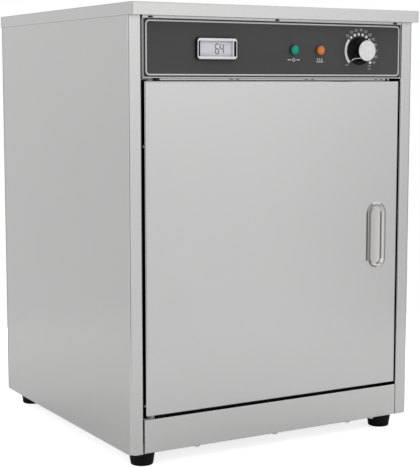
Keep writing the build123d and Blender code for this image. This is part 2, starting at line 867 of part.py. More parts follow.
def thermometer_bezel():
    """Rounded frame that stands proud of the label, with a bar at each end of its window."""
    face = facing_front(meter_x, label_front, meter_z)
    frame = extrude(face * RectangleRounded(METER_W, METER_H, METER_CORNER_R), amount=METER_PROUD)
    frame = fillet(frame.faces().sort_by(Axis.Y)[0].edges(), METER_FRAME / 4)
    opening_w = METER_W - 2 * METER_SIDE_FRAME
    opening_h = METER_H - 2 * METER_FRAME
    opening = RectangleRounded(opening_w, opening_h, METER_OPENING_R)
    frame -= extrude(face * opening, amount=METER_PROUD)
    bars = []
    for side in (-1, 1):
        x = meter_x + side * (meter_window_w / 2 + FIT + METER_END_BAR / 2)
        bars.append(
            block(
                x - METER_END_BAR / 2,
                x + METER_END_BAR / 2,
                label_front - METER_PROUD + METER_BAR_SINK,
                label_front,
                meter_z - METER_H / 2 + METER_FRAME / 2,
                meter_z + METER_H / 2 - METER_FRAME / 2,
            )
        )
    return fuse([frame] + bars)


def meter_plate(front, back):
    """A flat insert of the thermometer's frame, between its two end bars."""
    half_w = meter_window_w / 2
    half_h = METER_H / 2 - METER_FRAME - FIT
    return block(
        meter_x - half_w, meter_x + half_w, front, back, meter_z - half_h, meter_z + half_h
    )


def thermometer_window():
    """Clear window held between the bezel's two end bars."""
    front = label_front - METER_PROUD + METER_WINDOW_SINK
    return meter_plate(front, front + METER_WINDOW_T)


def thermometer_face():
    """Display face behind the window, on the front of the case."""
    return meter_plate(label_front - METER_FACE_T, label_front)


def thermometer_case():
    """The instrument's body, let through the console from the front."""
    half_w, half_h = METER_CASE_W / 2, METER_CASE_H / 2
    case = block(
        meter_x - half_w,
        meter_x + half_w,
        label_front,
        label_front + METER_CASE_D,
        meter_z - half_h,
        meter_z + half_h,
    )
    return fillet(case.faces().sort_by(Axis.Y)[-1].edges(), METER_CASE_EDGE_R)


def lamp_lens(x):
    """Domed lens with a flange, seated on the label."""
    dome = Polyline((0, 0), (LAMP_R, 0), (LAMP_R, LAMP_FLANGE_T)) + Spline(
        (LAMP_R, LAMP_FLANGE_T), (0, LAMP_FLANGE_T + LAMP_DOME_H), tangents=[(-0.15, 1), (-1, 0)]
    )
    profile = make_face(dome + Line((0, LAMP_FLANGE_T + LAMP_DOME_H), (0, 0)))
    lens = revolve(Plane.XZ * profile, axis=Axis.Z)
    return facing_front(x, label_front, lamp_z) * lens


def lamp_barrels():
    """Both lamp bodies behind their lenses, each with two spade tags."""
    bodies = []
    for x in LAMP_XS:
        end = label_front + LAMP_BARREL_L
        barrel = rod(LAMP_BARREL_R, (x, label_front, lamp_z), (x, end, lamp_z))
        tags = [
            block(
                x - LAMP_TAG_W / 2,
                x + LAMP_TAG_W / 2,
                end - 1,
                end + LAMP_TAG_L,
                lamp_z + offset - LAMP_TAG_T / 2,
                lamp_z + offset + LAMP_TAG_T / 2,
            )
            for offset in (-LAMP_BARREL_R / 2, LAMP_BARREL_R / 2)
        ]
        bodies.append(fuse([barrel] + tags))
    return Compound(children=bodies)


def knob_profile(grow):
    """Half section of the knob, axis on local Y, grown outward by an amount."""
    skirt = (KNOB_SKIRT_R + grow, KNOB_SKIRT_T + grow)
    waist = (KNOB_WAIST_R + grow, KNOB_WAIST_RISE)
    front = (KNOB_FRONT_R + grow, KNOB_H)
    run = Polyline((0, KNOB_H), (0, 0), (KNOB_SKIRT_R + grow, 0), skirt)
    run += Spline(skirt, waist, tangents=[(-1, 0.25), (-0.05, 1)])
    return make_face(run + Polyline(waist, front, (0, KNOB_H)))


def knob_form(grow=0.0):
    """The knob's solid outer form, standing on +Z."""
    return revolve(Plane.XZ * knob_profile(grow), axis=Axis.Z)


def d_bar(radius, length):
    """A round bar with a flat, standing on +Z, its flat on the +Y side."""
    bar = Cylinder(radius, length, align=(Align.CENTER, Align.CENTER, Align.MIN))
    return bar - Pos(0, 2 * radius - SHAFT_FLAT, length / 2) * Box(2 * radius, 2 * radius, length)


def knob_plane():
    """Where the knob stands on the console, its axis pointing at the viewer."""
    return facing_front(knob_x, knob_back, knob_z)


def knob_body():
    """Flared knob, hollow behind for the nut, with a socket for the shaft."""
    body = knob_form()
    body -= Cylinder(KNOB_HOLLOW_R, KNOB_HOLLOW_DEPTH, align=(Align.CENTER, Align.CENTER, Align.MIN))
    body -= Pos(0, 0, KNOB_HOLLOW_DEPTH) * d_bar(SHAFT_R, SHAFT_IN_KNOB)
    seat = Cylinder(KNOB_CAP_R, KNOB_CAP_SEAT, align=(Align.CENTER, Align.CENTER, Align.MAX))
    return knob_plane() * (body - Pos(0, 0, KNOB_H) * seat)


def knob_cap():
    """Brushed metal disc set in the front of the knob."""
    disc = Cylinder(KNOB_CAP_R, KNOB_CAP_T, align=(Align.CENTER, Align.CENTER, Align.MIN))
    disc = fillet(disc.edges().group_by(Axis.Z)[-1], KNOB_CAP_T / 4)
    return knob_plane() * (Pos(0, 0, KNOB_H - KNOB_CAP_SEAT) * disc)


def knob_pointer():
    """Inlaid line that runs down the knob's side and skirt."""
    reach = KNOB_SKIRT_R + 1
    slab = Rot(0, 0, POINTER_ANGLE) * Pos(reach / 2, 0, KNOB_H / 2) * Box(reach, POINTER_W, KNOB_H)
    line = (knob_form(POINTER_RAISE) - knob_form()) & slab
    return knob_plane() * line


def thermostat_shaft():
    """The thermostat's spindle: round in its bush, flat-sided in the knob."""
    inside = THERMOSTAT_D / 2
    flat_start = knob_back - KNOB_HOLLOW_DEPTH
    round_part = rod(SHAFT_R, (knob_x, inside, knob_z), (knob_x, flat_start, knob_z))
    flat_part = facing_front(knob_x, flat_start, knob_z) * d_bar(SHAFT_R, SHAFT_IN_KNOB)
    return fuse([round_part, flat_part])


def thermostat_body():
    """Thermostat behind the console, its threaded bush through the panel."""
    front = console_front + SHEET
    case = block(
        knob_x - THERMOSTAT_W / 2,
        knob_x + THERMOSTAT_W / 2,
        front,
        front + THERMOSTAT_D,
        knob_z - THERMOSTAT_H / 2,
        knob_z + THERMOSTAT_H / 2,
    )
    case = fillet(case.edges().filter_by(Axis.Y), THERMOSTAT_CORNER_R)
    bush = rod(BUSH_R, (knob_x, front, knob_z), (knob_x, front - BUSH_L, knob_z))
    bore_end = THERMOSTAT_D / 2 + 1
    bore = rod(SHAFT_R + RUN_PLAY, (knob_x, bore_end, knob_z), (knob_x, front - BUSH_L - 1, knob_z))
    return fuse([case, bush]) - bore


def thermostat_nut():
    """Thin nut that clamps the thermostat to the console, inside the knob."""
    nut = hexagon(NUT_AF, NUT_T) - Cylinder(BUSH_R + SNUG, 3 * NUT_T)
    return facing_front(knob_x, label_front, knob_z) * nut


def sensing_bulb():
    """Thermostat bulb lying under the chamber's ceiling."""
    end = bulb_start + BULB_L
    bulb = rod(BULB_R, (capillary_x, bulb_start, bulb_z), (capillary_x, end, bulb_z))
    return fillet(bulb.edges(), BULB_R / 3)


def capillary_tube():
    """Thin tube from the bulb, up through the ceiling and forward to the thermostat."""
    case_back = console_front + SHEET + THERMOSTAT_D
    route = FilletPolyline(
        (capillary_x, bulb_start, bulb_z),
        (capillary_x, CAPILLARY_RISE_Y, bulb_z),
        (capillary_x, CAPILLARY_RISE_Y, knob_z),
        (capillary_x, case_back, knob_z),
        radius=CAPILLARY_BEND_R,
    )
    plane = Plane(origin=(capillary_x, bulb_start, bulb_z), z_dir=(0, -1, 0))
    return sweep(plane * Circle(CAPILLARY_R), path=route)


def bulb_clips():
    """Two spring clips that hang the bulb from the ceiling."""
    x = capillary_x
    clips = []
    for middle in (bulb_start + CLIP_INSET, bulb_start + BULB_L - CLIP_INSET):
        front, back = middle - CLIP_W / 2, middle + CLIP_W / 2
        ring = rod(BULB_R + CLIP_T, (x, front, bulb_z), (x, back, bulb_z))
        stem = block(x - CLIP_T, x + CLIP_T, front, back, bulb_z, chamber_top)
        bore = rod(BULB_R, (x, front - 1, bulb_z), (x, back + 1, bulb_z))
        clips.append(fuse([ring, stem]) - bore)
    return Compound(children=clips)


def terminal_block():
    """Supply terminals on the base pan, with barriers between the ways."""
    back = body_back - BLOCK_REAR_GAP
    front = back - BLOCK_W
    floor = pan_floor + SHEET
    step, over = floor + BLOCK_STEP_H, floor + BLOCK_H + 1
    start = gland_x - BLOCK_L / 2
    body = block(start, start + BLOCK_L, front, back, floor, floor + BLOCK_H)
    pitch = BLOCK_L / BLOCK_WAYS
    for way in range(BLOCK_WAYS):
        x0 = start + way * pitch + BLOCK_BARRIER / 2
        x1 = x0 + pitch - BLOCK_BARRIER
        body -= block(x0, x1, front - 1, front + BLOCK_STEP_D, step, over)
        body -= block(x0, x1, back - BLOCK_STEP_D, back + 1, step, over)
    return body


def cable_gland():
    """Cable inlet in the back panel: threaded stem, hexagon and domed nose round a clear bore."""
    seat = facing_back(gland_x, back_panel_back, GLAND_Z)
    stem = Cylinder(GLAND_THREAD_R, GLAND_THREAD_L, align=(Align.CENTER, Align.CENTER, Align.MAX))
    flange = hexagon(GLAND_AF, GLAND_FLANGE_T)
    nose = Cylinder(GLAND_DOME_R, GLAND_DOME_L, align=(Align.CENTER, Align.CENTER, Align.MIN))
    nose = fillet(nose.edges().group_by(Axis.Z)[-1], GLAND_DOME_L / 3)
    body = fuse([flange, stem, Pos(0, 0, GLAND_FLANGE_T) * nose])
    bore = Cylinder(GLAND_BORE_R, 4 * (GLAND_THREAD_L + GLAND_DOME_L))
    return seat * (body - bore)


def gland_locknut():
    """Locknut on the gland's stem, against the back panel's inner face."""
    nut = hexagon(GLAND_AF, LOCKNUT_T) - Cylinder(GLAND_THREAD_R + SNUG, 3 * LOCKNUT_T)
    return facing_front(gland_x, body_back, GLAND_Z) * nut


def hinge_brackets():
    """Pivot plates beside the hinge post, on the sill and under the console, holed for their pins."""
    x0 = -post_inner + FIT
    plates = []
    for z0 in (plinth_top, console_bottom - BRACKET_T):
        plate = block(x0, x0 + BRACKET_W, RAIL_SETBACK, RAIL_SETBACK + BRACKET_D, z0, z0 + BRACKET_T)
        plate = fillet(plate.edges().filter_by(Axis.Z).sort_by(Axis.X)[-2:], BRACKET_CORNER_R)
        plates.append(plate - pivot_rod(PIN_R + SNUG, z0 - 1, z0 + BRACKET_T + 1))
    return Compound(children=plates)


def hinge_pins():
    """The lower and upper pivot pins, fixed in their brackets."""
    low = pivot_rod(PIN_R, plinth_top - SHEET, door_bottom + PIN_REACH)
    high = pivot_rod(PIN_R, door_top - PIN_REACH, console_bottom)
    return Compound(children=[low, high])


def bush_sleeve_r():
    """Outer radius of a pivot bush's sleeve."""
    return PIN_R + RUN_PLAY + BUSH_WALL


def door_bushes():
    """Nylon bushes in the door's lower and upper folds, collars outside."""
    low_collar = plinth_top + BRACKET_T + BRACKET_PLAY
    high_collar = console_bottom - BRACKET_T - BRACKET_PLAY
    bushes = []
    for face, collar, sleeve_end in (
        (door_bottom, low_collar, door_bottom + PIN_REACH + 1),
        (door_top, high_collar, door_top - PIN_REACH - 1),
    ):
        flange = pivot_rod(BUSH_COLLAR_R, collar, face)
        sleeve = pivot_rod(bush_sleeve_r(), collar, sleeve_end)
        bushes.append(fuse([flange, sleeve]) - pivot_rod(PIN_R + RUN_PLAY, collar, sleeve_end))
    return Compound(children=bushes)


def door_block(inset, front, back):
    """A block of the door's outline, drawn in by an inset."""
    return block(
        -door_half + inset, door_half - inset, front, back, door_bottom + inset, door_top - inset
    )


def rounded_front(solid, radius):
    """The door's front edges and its four depth-wise corners, rounded like a folded pan."""
    edges = solid.edges().filter_by(Axis.Y) + solid.faces().sort_by(Axis.Y)[0].edges()
    return fillet(edges, radius)


def door_skin():
    """Door pan: front sheet with its four sides folded back, open behind."""
    pan = rounded_front(door_block(0, door_front, door_back), DOOR_BEND)
    pan -= rounded_front(door_block(SHEET, door_front + SHEET, door_back + 1), DOOR_BEND - SHEET)
    pan -= pull_cup_form(FIT)
    pan -= pivot_rod(bush_sleeve_r() + SNUG, door_bottom - 1, door_top + 1)
    for z in door_rivet_heights():
        pan -= rod(
            DOOR_RIVET_R / 2 + SNUG,
            (-door_half - 1, door_front + DOOR_RIVET_DEPTH, z),
            (-door_half + 2 * SHEET, door_front + DOOR_RIVET_DEPTH, z),
        )
    return pan


def door_rivet_heights():
    """Heights of the two rivets on the hinge side."""
    return door_bottom + DOOR_RIVET_LOW, door_bottom + DOOR_RIVET_HIGH


def door_rivets():
    """Two domed rivets in the hinge-side fold."""
    rivets = []
    for z in door_rivet_heights():
        y = door_front + DOOR_RIVET_DEPTH
        head = rod(DOOR_RIVET_R, (-door_half, y, z), (-door_half - DOOR_RIVET_H, y, z))
        head = fillet(head.edges().group_by(Axis.X)[0], DOOR_RIVET_H / 2)
        shank = rod(DOOR_RIVET_R / 2, (-door_half, y, z), (-door_half + SHEET, y, z))
        rivets.append(fuse([head, shank]))
    return Compound(children=rivets)


def door_inner_panel():
    """Inner sheet of the door, with a raised field inside the gasket."""
    plate = door_block(SHEET + FIT, door_back - SHEET, door_back)
    plate = fillet(plate.edges().filter_by(Axis.Y), DOOR_BEND - SHEET)
    width = 2 * (door_half - FIELD_INSET)
    height = door_h - 2 * FIELD_INSET
    middle = (door_bottom + door_top) / 2
    outer = facing_back(0, door_back, middle) * RectangleRounded(width, height, GASKET_CORNER_R)
    raised = extrude(outer, amount=FIELD_RAISE, taper=45)
    inner = facing_back(0, door_back - SHEET, middle) * RectangleRounded(width, height, GASKET_CORNER_R)
    return (plate + raised) - extrude(inner, amount=FIELD_RAISE, taper=45)


def door_insulation():
    """Wool slab inside the door, pocketed for the pull and the bushes."""
    inset = SHEET + SOFT_GAP
    slab = rounded_front(door_block(inset, door_front + inset, door_back - inset), DOOR_BEND - SHEET)
    slab -= pull_cup_form(SHEET + SOFT_GAP)
    well = PIN_REACH + 1 + SOFT_GAP
    pocket_r = bush_sleeve_r() + SOFT_GAP
    for z0, z1 in ((door_bottom, door_bottom + well), (door_top - well, door_top)):
        slab -= pivot_rod(pocket_r, z0, z1)
    return slab


def door_gasket():
    """Silicone seal round the door's inner face."""
    width = 2 * (door_half - GASKET_INSET)
    height = door_h - 2 * GASKET_INSET
    face = facing_back(0, door_back, (door_bottom + door_top) / 2)
    outer = RectangleRounded(width, height, GASKET_CORNER_R)
    width, height = width - 2 * GASKET_W, height - 2 * GASKET_W
    inner = RectangleRounded(width, height, GASKET_CORNER_R - GASKET_W / 2)
    ring = extrude(face * (outer - inner), amount=GASKET_T)
    return fillet(ring.faces().sort_by(Axis.Y)[-1].edges(), GASKET_T / 3)


def pull_cup_form(grow):
    """The pull's recess as a solid, from the door's face back, grown by an amount."""
    width = PULL_W - 2 * PULL_RIM + 2 * grow
    height = PULL_H - 2 * PULL_RIM + 2 * grow
    face = facing_back(pull_x, door_front, pull_z) * SlotOverall(height, width, rotation=90)
    cup = extrude(face, amount=PULL_DEPTH + grow, taper=PULL_DRAFT)
    return fillet(cup.faces().sort_by(Axis.Y)[-1].edges(), PULL_FLOOR_R + grow)


def door_pull():
    """Pressed flush cup with a rolled rim on the door's face."""
    face = facing_front(pull_x, door_front, pull_z)
    rim = extrude(face * SlotOverall(PULL_H, PULL_W, rotation=90), amount=PULL_PROUD)
    inset = 2 * (PULL_RIM + SHEET)
    rim -= extrude(face * SlotOverall(PULL_H - inset, PULL_W - inset, rotation=90), amount=PULL_PROUD)
    rim = fillet(rim.faces().sort_by(Axis.Y)[0].edges(), PULL_ROLL_R)
    return fuse([rim, pull_cup_form(0) - pull_cup_form(-SHEET)])


def catch_magnet():
    """Magnet block on the frame's latch side."""
    x1 = door_half - CATCH_EDGE_INSET
    z0, z1 = pull_z - CATCH_H / 2, pull_z + CATCH_H / 2
    return block(x1 - CATCH_W, x1, door_back + STRIKE_T + SOFT_GAP, frame_front, z0, z1)


def catch_strike():
    """Steel plate on the door that the magnet holds."""
    x1 = door_half - CATCH_EDGE_INSET
    z0, z1 = pull_z - CATCH_H / 2, pull_z + CATCH_H / 2
    return block(x1 - CATCH_W, x1, door_back, door_back + STRIKE_T, z0, z1)


def all_parts():
    """Every named piece of the cabinet."""
    parts = {
        "top_cap": top_cap(),
        "side_panel_left": side_panel_left(),
        "side_panel_right": mirror_x(side_panel_left()),
        "back_panel": back_panel(),
        "base_pan": base_pan(),
        "plinth_panel": plinth_panel(),
        "console_panel": console_panel(),
        "console_label": console_label(),
        "front_top_rail": front_top_rail(),
        "panel_screws": panel_screws(),
        "liner_left": liner_left(),
        "liner_right": mirror_x(liner_left()),
        "liner_top": liner_top(),
        "liner_floor": liner_floor(),
        "liner_back": liner_back(),
        "insulation_sides": insulation_sides(),
        "insulation_top": insulation_top(),
        "insulation_floor": insulation_floor(),
        "insulation_back": insulation_back(),
        "shelf_ledges": shelf_ledges(),
        "wire_shelf_lower": wire_shelf(ledge_tops[0]),
        "wire_shelf_upper": wire_shelf(ledge_tops[1]),
        "heating_element": heating_element(),
        "element_supports": element_supports(),
        "element_guard": element_guard(),
        "thermometer_bezel": thermometer_bezel(),
        "thermometer_window": thermometer_window(),
        "thermometer_face": thermometer_face(),
        "thermometer_case": thermometer_case(),
        "lamp_lens_power": lamp_lens(LAMP_XS[0]),
        "lamp_lens_heat": lamp_lens(LAMP_XS[1]),
        "lamp_barrels": lamp_barrels(),
        "thermostat_body": thermostat_body(),
        "thermostat_nut": thermostat_nut(),
        "thermostat_shaft": thermostat_shaft(),
        "capillary_tube": capillary_tube(),
        "sensing_bulb": sensing_bulb(),
        "bulb_clips": bulb_clips(),
        "knob_body": knob_body(),
        "knob_cap": knob_cap(),
        "knob_pointer": knob_pointer(),
        "terminal_block": terminal_block(),
        "cable_gland": cable_gland(),
        "gland_locknut": gland_locknut(),
        "hinge_brackets": hinge_brackets(),
        "hinge_pins": hinge_pins(),
        "door_bushes": door_bushes(),
        "door_skin": door_skin(),
        "door_inner_panel": door_inner_panel(),
        "door_insulation": door_insulation(),
        "door_gasket": door_gasket(),
        "door_pull": door_pull(),
        "door_rivets": door_rivets(),
        "catch_magnet": catch_magnet(),
        "catch_strike": catch_strike(),
        "foot_screws": foot_screws(),
    }
    for name, (x, y) in FOOT_PLACES.items():
        parts[name] = Pos(x, y, 0) * foot()
    return parts


def write_parts():
    """One STEP file per piece, with the origin under the cabinet's middle."""
    os.makedirs("parts", exist_ok=True)
    for name, solid in all_parts().items():
        export_step(Pos(0, -y_middle, 0) * solid, f"parts/{name}.step")


write_parts()
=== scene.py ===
"""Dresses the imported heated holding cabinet: finishes, printed console, fittings, light and camera.

Sizes and places are millimetres in the cabinet's frame: X to the user's right, Y to the back, Z up.
Form.mesh turns them into metres.
"""

import logging
import math
from dataclasses import dataclass
from enum import Enum
from functools import cache
from typing import Iterable, Sequence

import bmesh
import bpy
from mathutils import Matrix, Vector


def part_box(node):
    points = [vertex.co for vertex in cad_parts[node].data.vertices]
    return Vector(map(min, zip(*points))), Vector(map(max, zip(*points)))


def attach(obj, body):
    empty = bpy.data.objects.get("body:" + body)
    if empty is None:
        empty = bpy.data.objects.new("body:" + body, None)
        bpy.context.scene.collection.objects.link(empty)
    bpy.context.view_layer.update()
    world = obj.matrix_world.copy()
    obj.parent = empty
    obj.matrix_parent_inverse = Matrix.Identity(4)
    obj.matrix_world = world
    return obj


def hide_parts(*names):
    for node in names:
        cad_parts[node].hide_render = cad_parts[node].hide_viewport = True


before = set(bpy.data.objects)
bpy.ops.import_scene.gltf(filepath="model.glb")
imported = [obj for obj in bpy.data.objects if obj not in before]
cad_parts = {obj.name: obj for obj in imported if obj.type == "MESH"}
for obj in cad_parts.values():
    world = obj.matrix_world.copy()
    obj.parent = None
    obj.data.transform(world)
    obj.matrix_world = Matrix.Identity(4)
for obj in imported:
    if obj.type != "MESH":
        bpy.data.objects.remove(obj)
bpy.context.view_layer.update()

MM = 0.001  # in metres
WELD = 0.0001  # points nearer to each other than this become one
log = logging.getLogger("holding_cabinet")

Point = tuple[float, float]
Triple = tuple[float, float, float]
Stops = tuple[Point, ...]
Socket = bpy.types.NodeSocket
Input = Socket | bpy.types.Node | float | Sequence[float]


class Facing(Enum):
    """Which way a local frame's Z axis points, as the turn from local axes to the cabinet's."""

    FRONT = ((1, 0, 0), (0, 0, -1), (0, 1, 0))
    BACK = ((-1, 0, 0), (0, 0, 1), (0, 1, 0))
    RIGHT = ((0, 0, 1), (1, 0, 0), (0, 1, 0))
    UP = ((1, 0, 0), (0, 1, 0), (0, 0, 1))

    def at(self, *place: float) -> Matrix:
        """The full transform of this local frame set down at a place."""
        return Matrix.Translation(place) @ Matrix(self.value).to_4x4()


class Ends(Enum):
    """How a loft is closed: by a flat face at each end, or round to its start."""

    FLAT = "flat"
    LOOPED = "looped"


class Grain(Enum):
    """Direction of a brushed finish, as noise cells per metre along X, Y and Z."""

    UPRIGHT = (1500.0, 1500.0, 14.0)
    ACROSS = (14.0, 1500.0, 1500.0)
    DEEP = (1500.0, 14.0, 1500.0)
    NONE = (420.0, 420.0, 420.0)


class Pattern(Enum):
    """The kinds of texture: cloudy noise, distance to scattered points, or place from front to back."""

    NOISE = "noise"
    CELLS = "cells"
    DEPTH = "depth"


class Follow(Enum):
    """Which of a surface's textures its tone, gloss or relief follows."""

    FINE = "fine"
    BROAD = "broad"
    BOTH = "both"


@dataclass(frozen=True)
class Span:
    """The box of a CAD node at rest."""

    low: Vector
    high: Vector

    @classmethod
    def of(cls, node: str) -> "Span":
        """Read a node's box from the frame."""
        return cls(*(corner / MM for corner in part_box(node)))

    @property
    def middle(self) -> Vector:
        """The centre of the box."""
        return (self.low + self.high) / 2

    @property
    def size(self) -> Vector:
        """Width, depth and height of the box."""
        return self.high - self.low

    def front(self) -> Matrix:
        """A local frame that looks to the user from the middle of the front face."""
        return Facing.FRONT.at(self.middle.x, self.low.y, self.middle.z)

    def seat(self) -> Matrix:
        """A local frame that looks to the user from the middle of the back face."""
        return Facing.FRONT.at(self.middle.x, self.high.y, self.middle.z)

    def base(self) -> Matrix:
        """An upright local frame at the middle of the underside."""
        return Facing.UP.at(self.middle.x, self.middle.y, self.low.z)


def arc(radius: float, start: float, end: float, steps: int, centre: Point = (0.0, 0.0)) -> list[Point]:
    """Points on a circular arc.

    Args:
        radius: Radius of the arc.
        start: First angle in degrees, anticlockwise from the local X axis.
        end: Last angle in degrees.
        steps: How many points.
        centre: Centre of the arc.

    Returns:
        The points from start to end, both included.
    """
    angles = [math.radians(start + (end - start) * i / (steps - 1)) for i in range(steps)]
    return [(centre[0] + radius * math.cos(a), centre[1] + radius * math.sin(a)) for a in angles]


def circle(radius: float, steps: int) -> list[Point]:
    """Points all round a circle."""
    return arc(radius, 0, 360 - 360 / steps, steps)


def on_circle(radius: float, angle: float) -> Point:
    """The point of a circle at an angle in degrees."""
    return radius * math.cos(math.radians(angle)), radius * math.sin(math.radians(angle))


def rounded_outline(width: float, height: float, radius: float, steps: int = 8) -> list[Point]:
    """A rectangle with round corners, anticlockwise.

    Args:
        width: Overall width.
        height: Overall height.
        radius: Corner radius.
        steps: Points on each corner.

    Returns:
        The closed outline's points.
    """
    across, up = width / 2 - radius, height / 2 - radius
    corners = [(across, -up, -90), (across, up, 0), (-across, up, 90), (-across, -up, 180)]
    return [point for x, y, turn in corners for point in arc(radius, turn, turn + 90, steps, (x, y))]


def at_depth(outline: Iterable[Point], depth: float) -> list[Vector]:
    """Lift a flat outline to a height in its local frame."""
    return [Vector((x, y, depth)) for x, y in outline]


class Form:
    """Collects lofts, turned shapes and strokes into one mesh, in a local frame."""

    def __init__(self) -> None:
        """Start with nothing."""
        self.bm = bmesh.new()

    def loft(self, rings: Sequence[Sequence[Vector]], ends: Ends = Ends.FLAT) -> "Form":
        """Skin a row of rings that all have the same number of points.

        Args:
            rings: The rings in order, each one a closed loop.
            ends: Whether the first and last rings are capped or joined to each other.

        Returns:
            This form, so that calls can follow each other.
        """
        rows = [[self.bm.verts.new(point) for point in ring] for ring in rings]
        pairs = list(zip(rows, rows[1:]))
        if ends is Ends.LOOPED:
            pairs.append((rows[-1], rows[0]))
        for row, after in pairs:
            for i in range(len(row)):
                j = (i + 1) % len(row)
                self.bm.faces.new((row[i], row[j], after[j], after[i]))
        if ends is Ends.FLAT:
            self.bm.faces.new(list(reversed(rows[0])))
            self.bm.faces.new(rows[-1])
        return self

    def turn(self, profile: Iterable[Point], steps: int, ends: Ends = Ends.FLAT,
             stand: Matrix = Matrix.Identity(4)) -> "Form":
        """Turn a profile round the Z axis of a stand.

        Args:
            profile: Points as (radius, height).
            steps: Points round the axis.
            ends: How the first and last rings are closed.
            stand: The local frame that holds the axis.

        Returns:
            This form.
        """
        rings = [[stand @ point for point in at_depth(circle(r, steps), z)] for r, z in profile]
        return self.loft(rings, ends)

    def prism(self, outline: Sequence[Point], low: float, high: float, bevel: float = 0.0) -> "Form":
        """Raise an outline into a plate whose upper edge may be eased.

        Args:
            outline: The closed outline.
            low: Height of the lower face.
            high: Height of the upper face.
            bevel: How far the upper edge is drawn in and down.

        Returns:
            This form.
        """
        if not bevel:
            return self.loft([at_depth(outline, low), at_depth(outline, high)])
        middle = sum((Vector(p) for p in outline), Vector((0, 0))) / len(outline)
        shrink = 1 - bevel / max((Vector(p) - middle).length for p in outline)
        drawn = [middle + (Vector(p) - middle) * shrink for p in outline]
        return self.loft([at_depth(outline, low), at_depth(outline, high - bevel), at_depth(drawn, high)])

    def sweep(self, path: Sequence[Vector], section: Sequence[Point], closed: bool = False) -> "Form":
        """Run a section along a level path.

        Args:
            path: Points of the path.
            section: Points of the section as (distance to the right, height).
            closed: Whether the path runs back to its start.

        Returns:
            This form.
        """
        rings = []
        for i, point in enumerate(path):
            before = path[i - 1] if closed or i else point
            after = path[(i + 1) % len(path)] if closed or i < len(path) - 1 else point
            along = (after - before).normalized()
            right = Vector((along.y, -along.x, 0))
            rings.append([point + right * side + Vector((0, 0, rise)) for side, rise in section])
        return self.loft(rings, Ends.LOOPED if closed else Ends.FLAT)

    def stroke(self, path: Iterable[Point], width: float, height: float, closed: bool = False) -> "Form":
        """Print a flat line along a path.

        Args:
            path: Points of the line's middle.
            width: Its width.
            height: Its thickness.
            closed: Whether the line runs back to its start.

        Returns:
            This form.
        """
        left, right = -width / 2, width / 2
        section = [(left, 0), (left, height), (right, height), (right, 0)]
        return self.sweep(at_depth(path, 0), section, closed)

    def numeral(self, text: str, size: float, place: Point, height: float) -> "Form":
        """Set a small printed number in the local XY plane.

        Args:
            text: The digits.
            size: Height of the type.
            place: Where its middle goes.
            height: Thickness of the ink.

        Returns:
            This form.
        """
        curve = bpy.data.curves.new("numeral", "FONT")
        curve.body, curve.size, curve.extrude = text, size, height / 2
        curve.align_x = curve.align_y = "CENTER"
        holder = bpy.data.objects.new("numeral", curve)
        mesh = bpy.data.meshes.new_from_object(holder)
        mesh.transform(Matrix.Translation((*place, height / 2)))
        self.bm.from_mesh(mesh)
        bpy.data.objects.remove(holder)
        bpy.data.curves.remove(curve)
        bpy.data.meshes.remove(mesh)
        return self

    def mesh(self, name: str, place: Matrix = Matrix.Identity(4), sharp: float = 35.0) -> bpy.types.Mesh:
        """Finish the mesh, moved to its place on the cabinet and scaled to metres.

        Args:
            name: Name of the mesh.
            place: Transform from the local frame.
            sharp: Edges that turn by more than this many degrees stay crisp.

        Returns:
            The mesh, with its normals facing out.
        """
        bmesh.ops.remove_doubles(self.bm, verts=self.bm.verts, dist=WELD)
        bmesh.ops.recalc_face_normals(self.bm, faces=self.bm.faces)
        mesh = bpy.data.meshes.new(name)
        self.bm.to_mesh(mesh)
        self.bm.free()
        mesh.transform(Matrix.Scale(MM, 4) @ place)
        mesh.shade_smooth()
        mesh.set_sharp_from_angle(angle=math.radians(sharp))
        return mesh


@dataclass(frozen=True)
class Texture:
    """A procedural texture: its cells per metre, all round or along each axis, and its octaves of noise."""

    scale: float | Triple
    detail: float = 2.0
    roughness: float = 0.5
    pattern: Pattern = Pattern.NOISE


